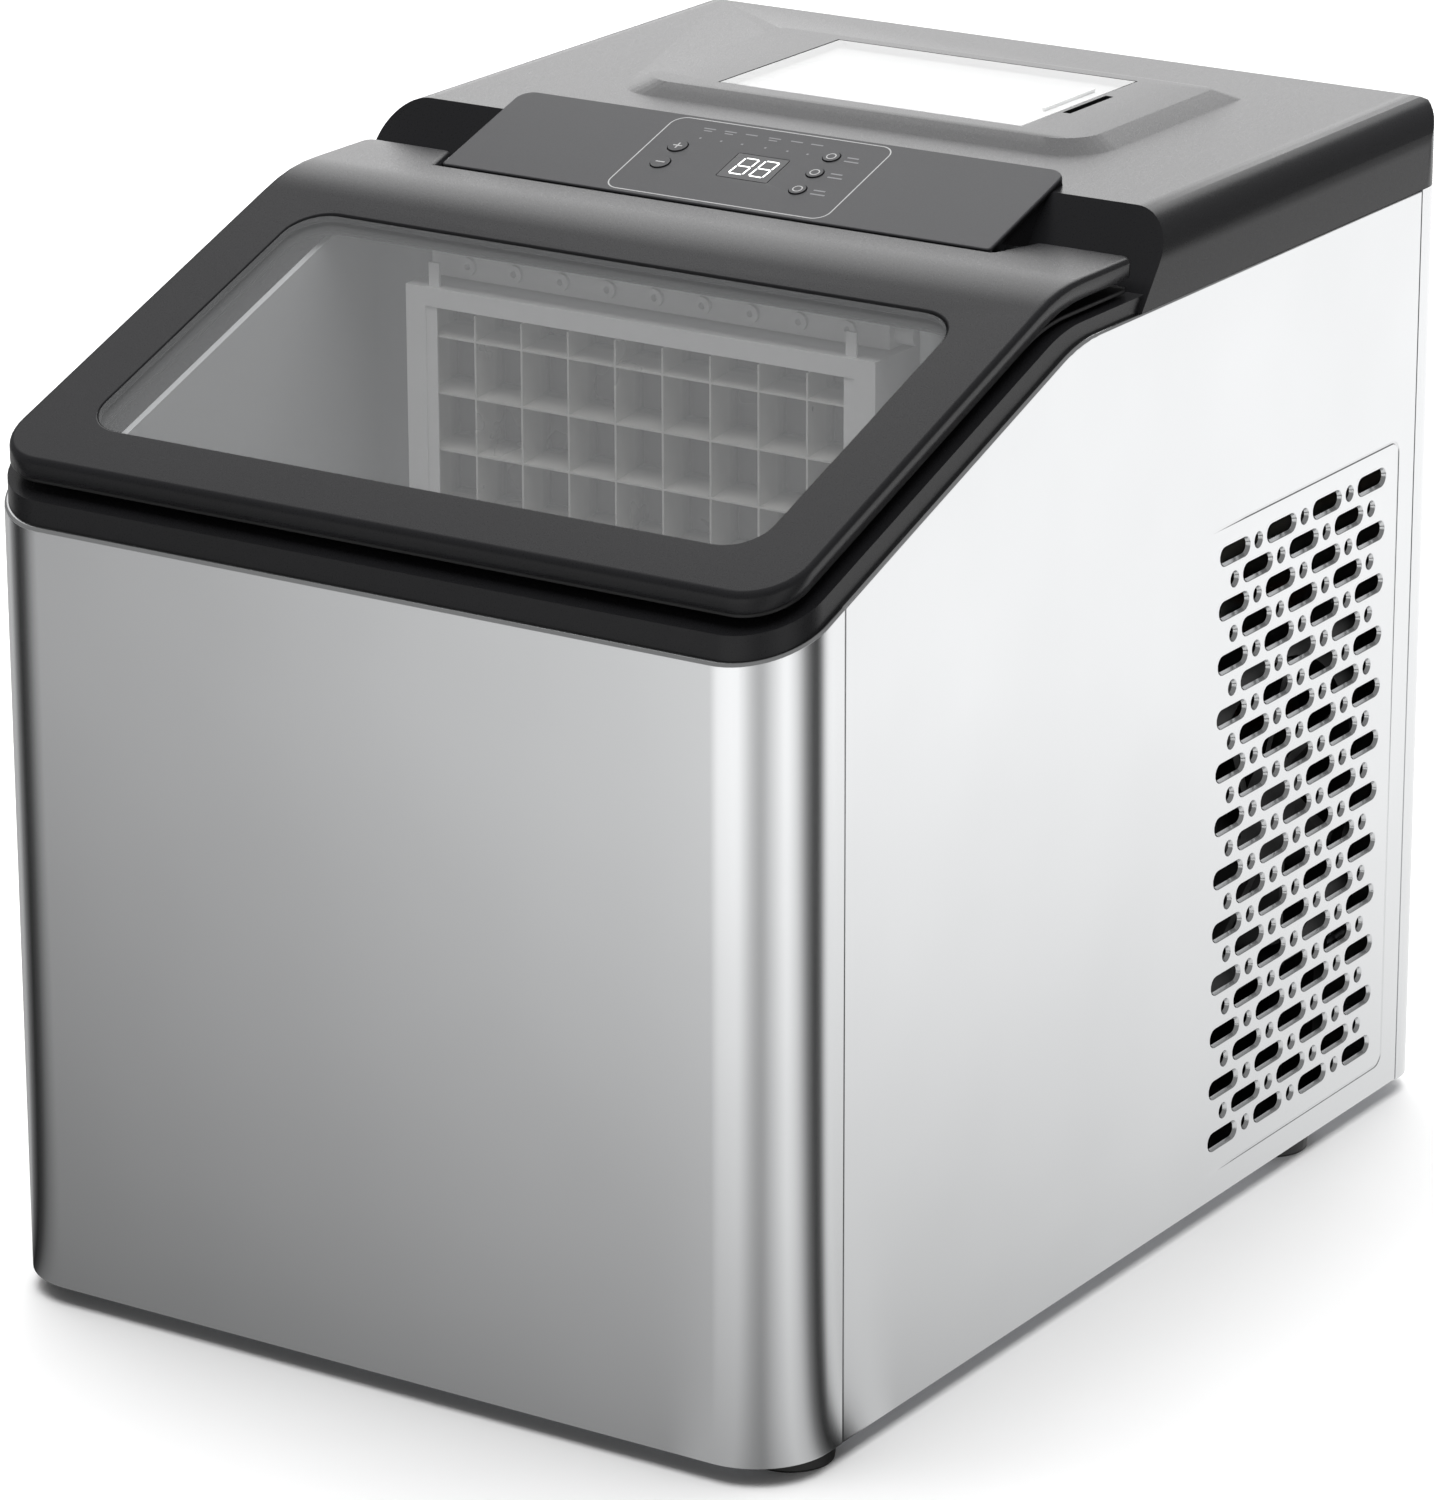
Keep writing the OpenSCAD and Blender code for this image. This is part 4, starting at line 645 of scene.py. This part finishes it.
def makePanel():
    # Plate on the tilted plane, with rounded edges and openings for the buttons and the display
    edge, corner = panel["edgeRound"], panel["cornerRound"]
    half = panelHigh.x - edge
    outline = roundedPolygon([(-half, edge), (half, edge), (half, panel["length"] - edge),
                              (-half, panel["length"] - edge)],
                             [corner, corner, panel["rearRound"], panel["rearRound"]])
    rims = [(outline, 1, lipProfile(edge, panel["thickness"], panel["fold"]))]
    holes = [(panel["stepX"], v, panel["stepWidth"]) for v in panel["stepV"]]
    holes += [(panel["modeX"], v, panel["modeWidth"]) for v in panel["modeV"]]
    for x, v, width in holes:
        rims.append((capsule(np.array([x, v]), 0, width + panel["buttonPlay"], 14), -1,
                     lipProfile(panel["buttonLip"], panel["thickness"], steps=2)))
    w, l = (panel[key] / 2 + panel["displayPlay"] for key in ("displayW", "displayL"))
    x, v = panel["displayX"], panel["displayV"]
    display = roundedPolygon([(x - w, v - l), (x + w, v - l), (x + w, v + l), (x - w, v + l)],
                             [corner] * 4)
    rims.append((display, -1, lipProfile(panel["displayLip"], panel["thickness"], steps=2)))
    points, faces = pressedSheet(rims, onPanel)
    made = makePiece("panelPlate", points, faces, finishes["panel_plastic"], "cabinet",
                     ["control_panel"], merge=0.001 * mm)
    addModifier(made, "WEIGHTED_NORMAL", keep_sharp=True, weight=90)


printed = {
    "lift": 0.03 * mm,  # ink over the surface
    "buttonRise": 0.3 * mm,
    "wordX": [-23.3, -16.2, -9.1, -1.2, 6.2, 13.0],  # mm
    "wordV": 38.4, "wordHalf": 2, "lineWidth": 0.5,
    "secondV": 37.2, "secondHalf": 1.4, "withSecond": (0, 1, 3),
    "lampV": 33, "lampHalf": 0.35, "lampWidth": 0.7,
    "sideLines": [(0.9, 29.4), (-1.1, 30.4)],  # height over the button's centre, end
    "sideX": 25.6, "sideWidth": 0.6,
    "digitX": [-4.4, 2.4], "digitLow": 17.8, "digitHigh": 26.4, "digitWide": 4.6,
    "slant": 0.09, "segmentGap": 0.3, "segmentWidth": 0.5,
    "signHalf": 1.5, "signWidth": 0.45, "signGap": 0.23, "ringOuter": 1.55, "ringInner": 1.2,
}


def bar(x0, v0, x1, v1, width):
    # Short flat bar from one point to another, as four corners
    a, b = np.array([x0, v0]), np.array([x1, v1])
    side = np.array([a[1] - b[1], b[0] - a[0]])
    side = side / np.linalg.norm(side) * width / 2
    return [a - side, b - side, b + side, a + side]


def printBars(name, bars, finish, bodyName, lift=printed["lift"]):
    # Bars given in mm, laid on the plate: four corners each
    corners = np.array(bars).reshape(-1, 2) * mm
    points = onPanel(corners, np.full(len(corners), -lift))
    faces = [[4 * i, 4 * i + 1, 4 * i + 2, 4 * i + 3] for i in range(len(bars))]
    makePiece(name, points, faces, finish, bodyName, smooth=False)


def makePrint():
    # Outline, words as plain dashes, and lamps
    half, low, high = (panel[key] for key in ("frameHalf", "frameLow", "frameHigh"))
    loop = roundedPolygon([(-half, low), (half, low), (half, high), (-half, high)],
                          [panel["frameRound"]] * 4, 10)
    normal = outward(loop)
    rings = np.stack([loop + normal * panel["lineWidth"] / 2, loop - normal * panel["lineWidth"] / 2], 1)
    flat = rings.reshape(-1, 2)
    points = onPanel(flat, np.full(len(flat), -printed["lift"]))
    faces = [f[::-1] for f in gridFaces(len(loop), 2, True)]
    makePiece("panelOutline", points, faces, ink, "cabinet", smooth=False)
    dashes = []
    for i, x in enumerate(printed["wordX"]):
        lines = [("wordV", "wordHalf", "lineWidth"), ("lampV", "lampHalf", "lampWidth")]
        if i in printed["withSecond"]:
            lines.insert(1, ("secondV", "secondHalf", "lineWidth"))
        for v, half, width in ((printed[key] for key in line) for line in lines):
            dashes.append(bar(x - half, v, x + half, v, width))
    for centre in panel["modeV"]:
        for rise, end in printed["sideLines"]:
            v = centre / mm + rise
            dashes.append(bar(printed["sideX"], v, end, v, printed["sideWidth"]))
    printBars("panelPrint", dashes, faintInk, "cabinet")


def makeDigits():
    # Two slanted eights of seven segments; each segment is a short bar
    bars = []
    low, high, wide = printed["digitLow"], printed["digitHigh"], printed["digitWide"]
    mid = (low + high) / 2
    for left in printed["digitX"]:
        spots = [(0, low), (wide, low), (0, mid), (wide, mid), (0, high), (wide, high)]
        spots = [(left + x + (v - low) * printed["slant"], v) for x, v in spots]
        for a, b in ((0, 1), (2, 3), (4, 5), (0, 2), (2, 4), (1, 3), (3, 5)):
            p, q = np.array(spots[a]), np.array(spots[b])
            gap = (q - p) / np.linalg.norm(q - p) * printed["segmentGap"]
            bars.append(bar(*(p + gap), *(q - gap), printed["segmentWidth"]))
    printBars("displayDigits", bars, lit, "cabinet")


def makeIcons():
    # Signs on the buttons: bars for plus and minus, rings for the others
    proud = printed["buttonRise"] + printed["lift"]
    x = panel["stepX"] / mm
    half, gap, width = (printed[key] for key in ("signHalf", "signGap", "signWidth"))
    for name, v in zip(("plus", "minus"), panel["stepV"]):
        v /= mm
        bars = [bar(x - half, v, x + half, v, width)]
        if name == "plus":
            bars += [bar(x, v + a, x, v + b, width) for a, b in ((-half, -gap), (gap, half))]
        printBars(name + "Sign", bars, ink, name + "_button", proud)
    turn = np.linspace(0, 2 * pi, 24, endpoint=False)
    ring = np.stack([np.cos(turn), np.sin(turn)], 1) * mm
    for name, v in zip(("clean", "size", "power"), panel["modeV"]):
        flat = np.stack([ring * printed["ringOuter"], ring * printed["ringInner"]], 1).reshape(-1, 2)
        flat += (panel["modeX"], v)
        points = onPanel(flat, np.full(len(flat), -proud))
        faces = [f[::-1] for f in gridFaces(len(turn), 2, True)]
        makePiece(name + "Sign", points, faces, ink, name + "_button", smooth=False)


makePanel()
makePrint()
makeDigits()
makeIcons()
print("control panel made")

studio = {
    "floorSize": 30.0,
    "floorColour": "#FAFAFA",
    "worldColour": "#FFFFFF", "worldStrength": 0.28,
    "boxes": [
        # name, place, aimed at, width, height, watts, seen in reflections
        ("keyBox", (0.0, 0.0, 2.6), (0, 0, 0), 3.0, 3.0, 110, False),
        ("rearBox", (-0.95, 2.1, 1.05), (0, 0, 0.3), 1.9, 1.5, 21, True),
        ("rearHighBox", (-0.85, 1.85, 2.05), (0, 0, 0.25), 1.7, 0.5, 5, True),
        ("leftTopBox", (-1.1, 0.75, 1.9), (0, 0, 0.25), 1.5, 1.5, 6, True),
    ],
    # Low reflector: direction in degrees to the right of the front, level far out, share at the foot
    "leftRing": [(-147, 0.75, 0.6), (-117, 0.55, 0.6), (-104, 0.7, 0.6), (-93, 0.3, 0.5),
                 (-77, 0.02, 0.5), (-63, 0.1, 0.45), (-47, 0.45, 0.35), (-33, 0.64, 0.33)],
    "rightRing": [(-33, 0.95, 0.33), (-20, 1.5, 0.28), (8, 1.6, 0.28), (26, 0.88, 0.35),
                  (38, 0.6, 0.4), (52, 1.05, 0.42), (72, 1.65, 0.4), (88, 1.1, 0.5),
                  (102, 0.3, 0.6), (117, 0.02, 0.5), (127, 0.18, 0.7), (134, 0.9, 0.65),
                  (141, 1.4, 0.5), (147, 1.44, 0.36)],
    "rearRing": [(147, 1.44, 0.65), (213, 1.2, 0.6)],
    "lastStop": (213, 1.1, 0.6),  # at the left rear corner
    "ringStep": 40,  # points along each ring
    "reaches": [0, 0.03, 0.07, 0.12, 0.2, 0.3, 0.4, 0.5, 0.65, 1.0, 2.5],  # metres from the corner
    "full": 0.65,  # distance at which the level is full, in metres
    "height": 0.5 * mm,
    "curve": 1.1,  # the less the share at the foot, the closer the growth is to a straight line
}


def makeLowReflector():
    # Ring of light just over the floor, seen only in reflections: points run out from the
    # body's outline along a direction that turns round its corners, and the level grows outwards
    inset = body["frontRadius"]
    x, y0, y1 = halfWidth - inset, frontY + inset, rearY - inset
    stops = []
    for key, corner in (("leftRing", (-x, y0)), ("rightRing", (x, y0)), ("rearRing", (x, y1))):
        table = np.array(studio[key])
        for turn in np.linspace(table[0, 0], table[-1, 0], studio["ringStep"]):
            stops.append((*corner, turn, *(np.interp(turn, table[:, 0], table[:, k]) for k in (1, 2))))
    stops.append((-x, y1, *studio["lastStop"]))
    stops = np.array(stops)
    reach = np.array(studio["reaches"])
    turn = np.radians(stops[:, 2])
    way = np.stack([np.sin(turn), -np.cos(turn)], 1)
    points = stops[:, None, :2] + way[:, None] * reach[None, :, None]
    points = np.concatenate([points, np.full(points.shape[:2] + (1,), studio["height"])], 2)
    share = np.minimum(reach / studio["full"], 1)[None] ** (studio["curve"] - stops[:, 4:])
    level = stops[:, 3:4] * (stops[:, 4:] + (1 - stops[:, 4:]) * share)
    data = bpy.data.meshes.new("lowReflector")
    data.from_pydata(points.reshape(-1, 3).tolist(), [], gridFaces(len(stops), len(reach), True))
    data.attributes.new("level", "FLOAT", "POINT").data.foreach_set("value", level.ravel())
    glow = bpy.data.materials.new("reflectorCloth")
    glow.use_nodes = True
    tree = glow.node_tree
    tree.nodes.clear()
    read = addNode(tree, "ShaderNodeAttribute", attribute_name="level")
    out = addNode(tree, "ShaderNodeOutputMaterial")
    addNode(tree, "ShaderNodeEmission", {"Strength": read.outputs["Fac"]}, [out.inputs["Surface"]])
    data.materials.append(glow)
    ring = bpy.data.objects.new("lowReflector", data)
    bpy.context.scene.collection.objects.link(ring)
    for kind in ("camera", "diffuse", "transmission", "shadow", "volume_scatter"):
        setattr(ring, "visible_" + kind, False)


def makeStudio():
    world = bpy.data.worlds.new("studioWorld")
    world.use_nodes = True
    back = world.node_tree.nodes["Background"]
    back.inputs["Color"].default_value = hexColour(studio["worldColour"])
    back.inputs["Strength"].default_value = studio["worldStrength"]
    bpy.context.scene.world = world
    size = studio["floorSize"] / 2
    data = bpy.data.meshes.new("studioFloor")
    data.from_pydata([(-size, -size, 0), (size, -size, 0), (size, size, 0), (-size, size, 0)], [],
                     [(0, 1, 2, 3)])
    floor = bpy.data.objects.new("studioFloor", data)
    bpy.context.scene.collection.objects.link(floor)
    data.materials.append(makeFinish("paintedFloor", "#F6F6F6", studio["floorColour"], 0.9, 2, 0,
                                     SpecularIORLevel=0.1))
    for name, place, aim, width, height, watts, mirrored in studio["boxes"]:
        light = bpy.data.lights.new(name, "AREA")
        light.shape = "RECTANGLE"
        light.size, light.size_y = width, height
        light.energy = watts
        holder = bpy.data.objects.new(name, light)
        holder.matrix_world = Matrix.Translation(place) @ (
            Vector(place) - Vector(aim)).to_track_quat("Z", "Y").to_matrix().to_4x4()
        holder.visible_camera = False
        holder.visible_glossy = mirrored
        bpy.context.scene.collection.objects.link(holder)
    bpy.context.scene.view_settings.view_transform = "Standard"


makeStudio()
makeLowReflector()
print("studio made")
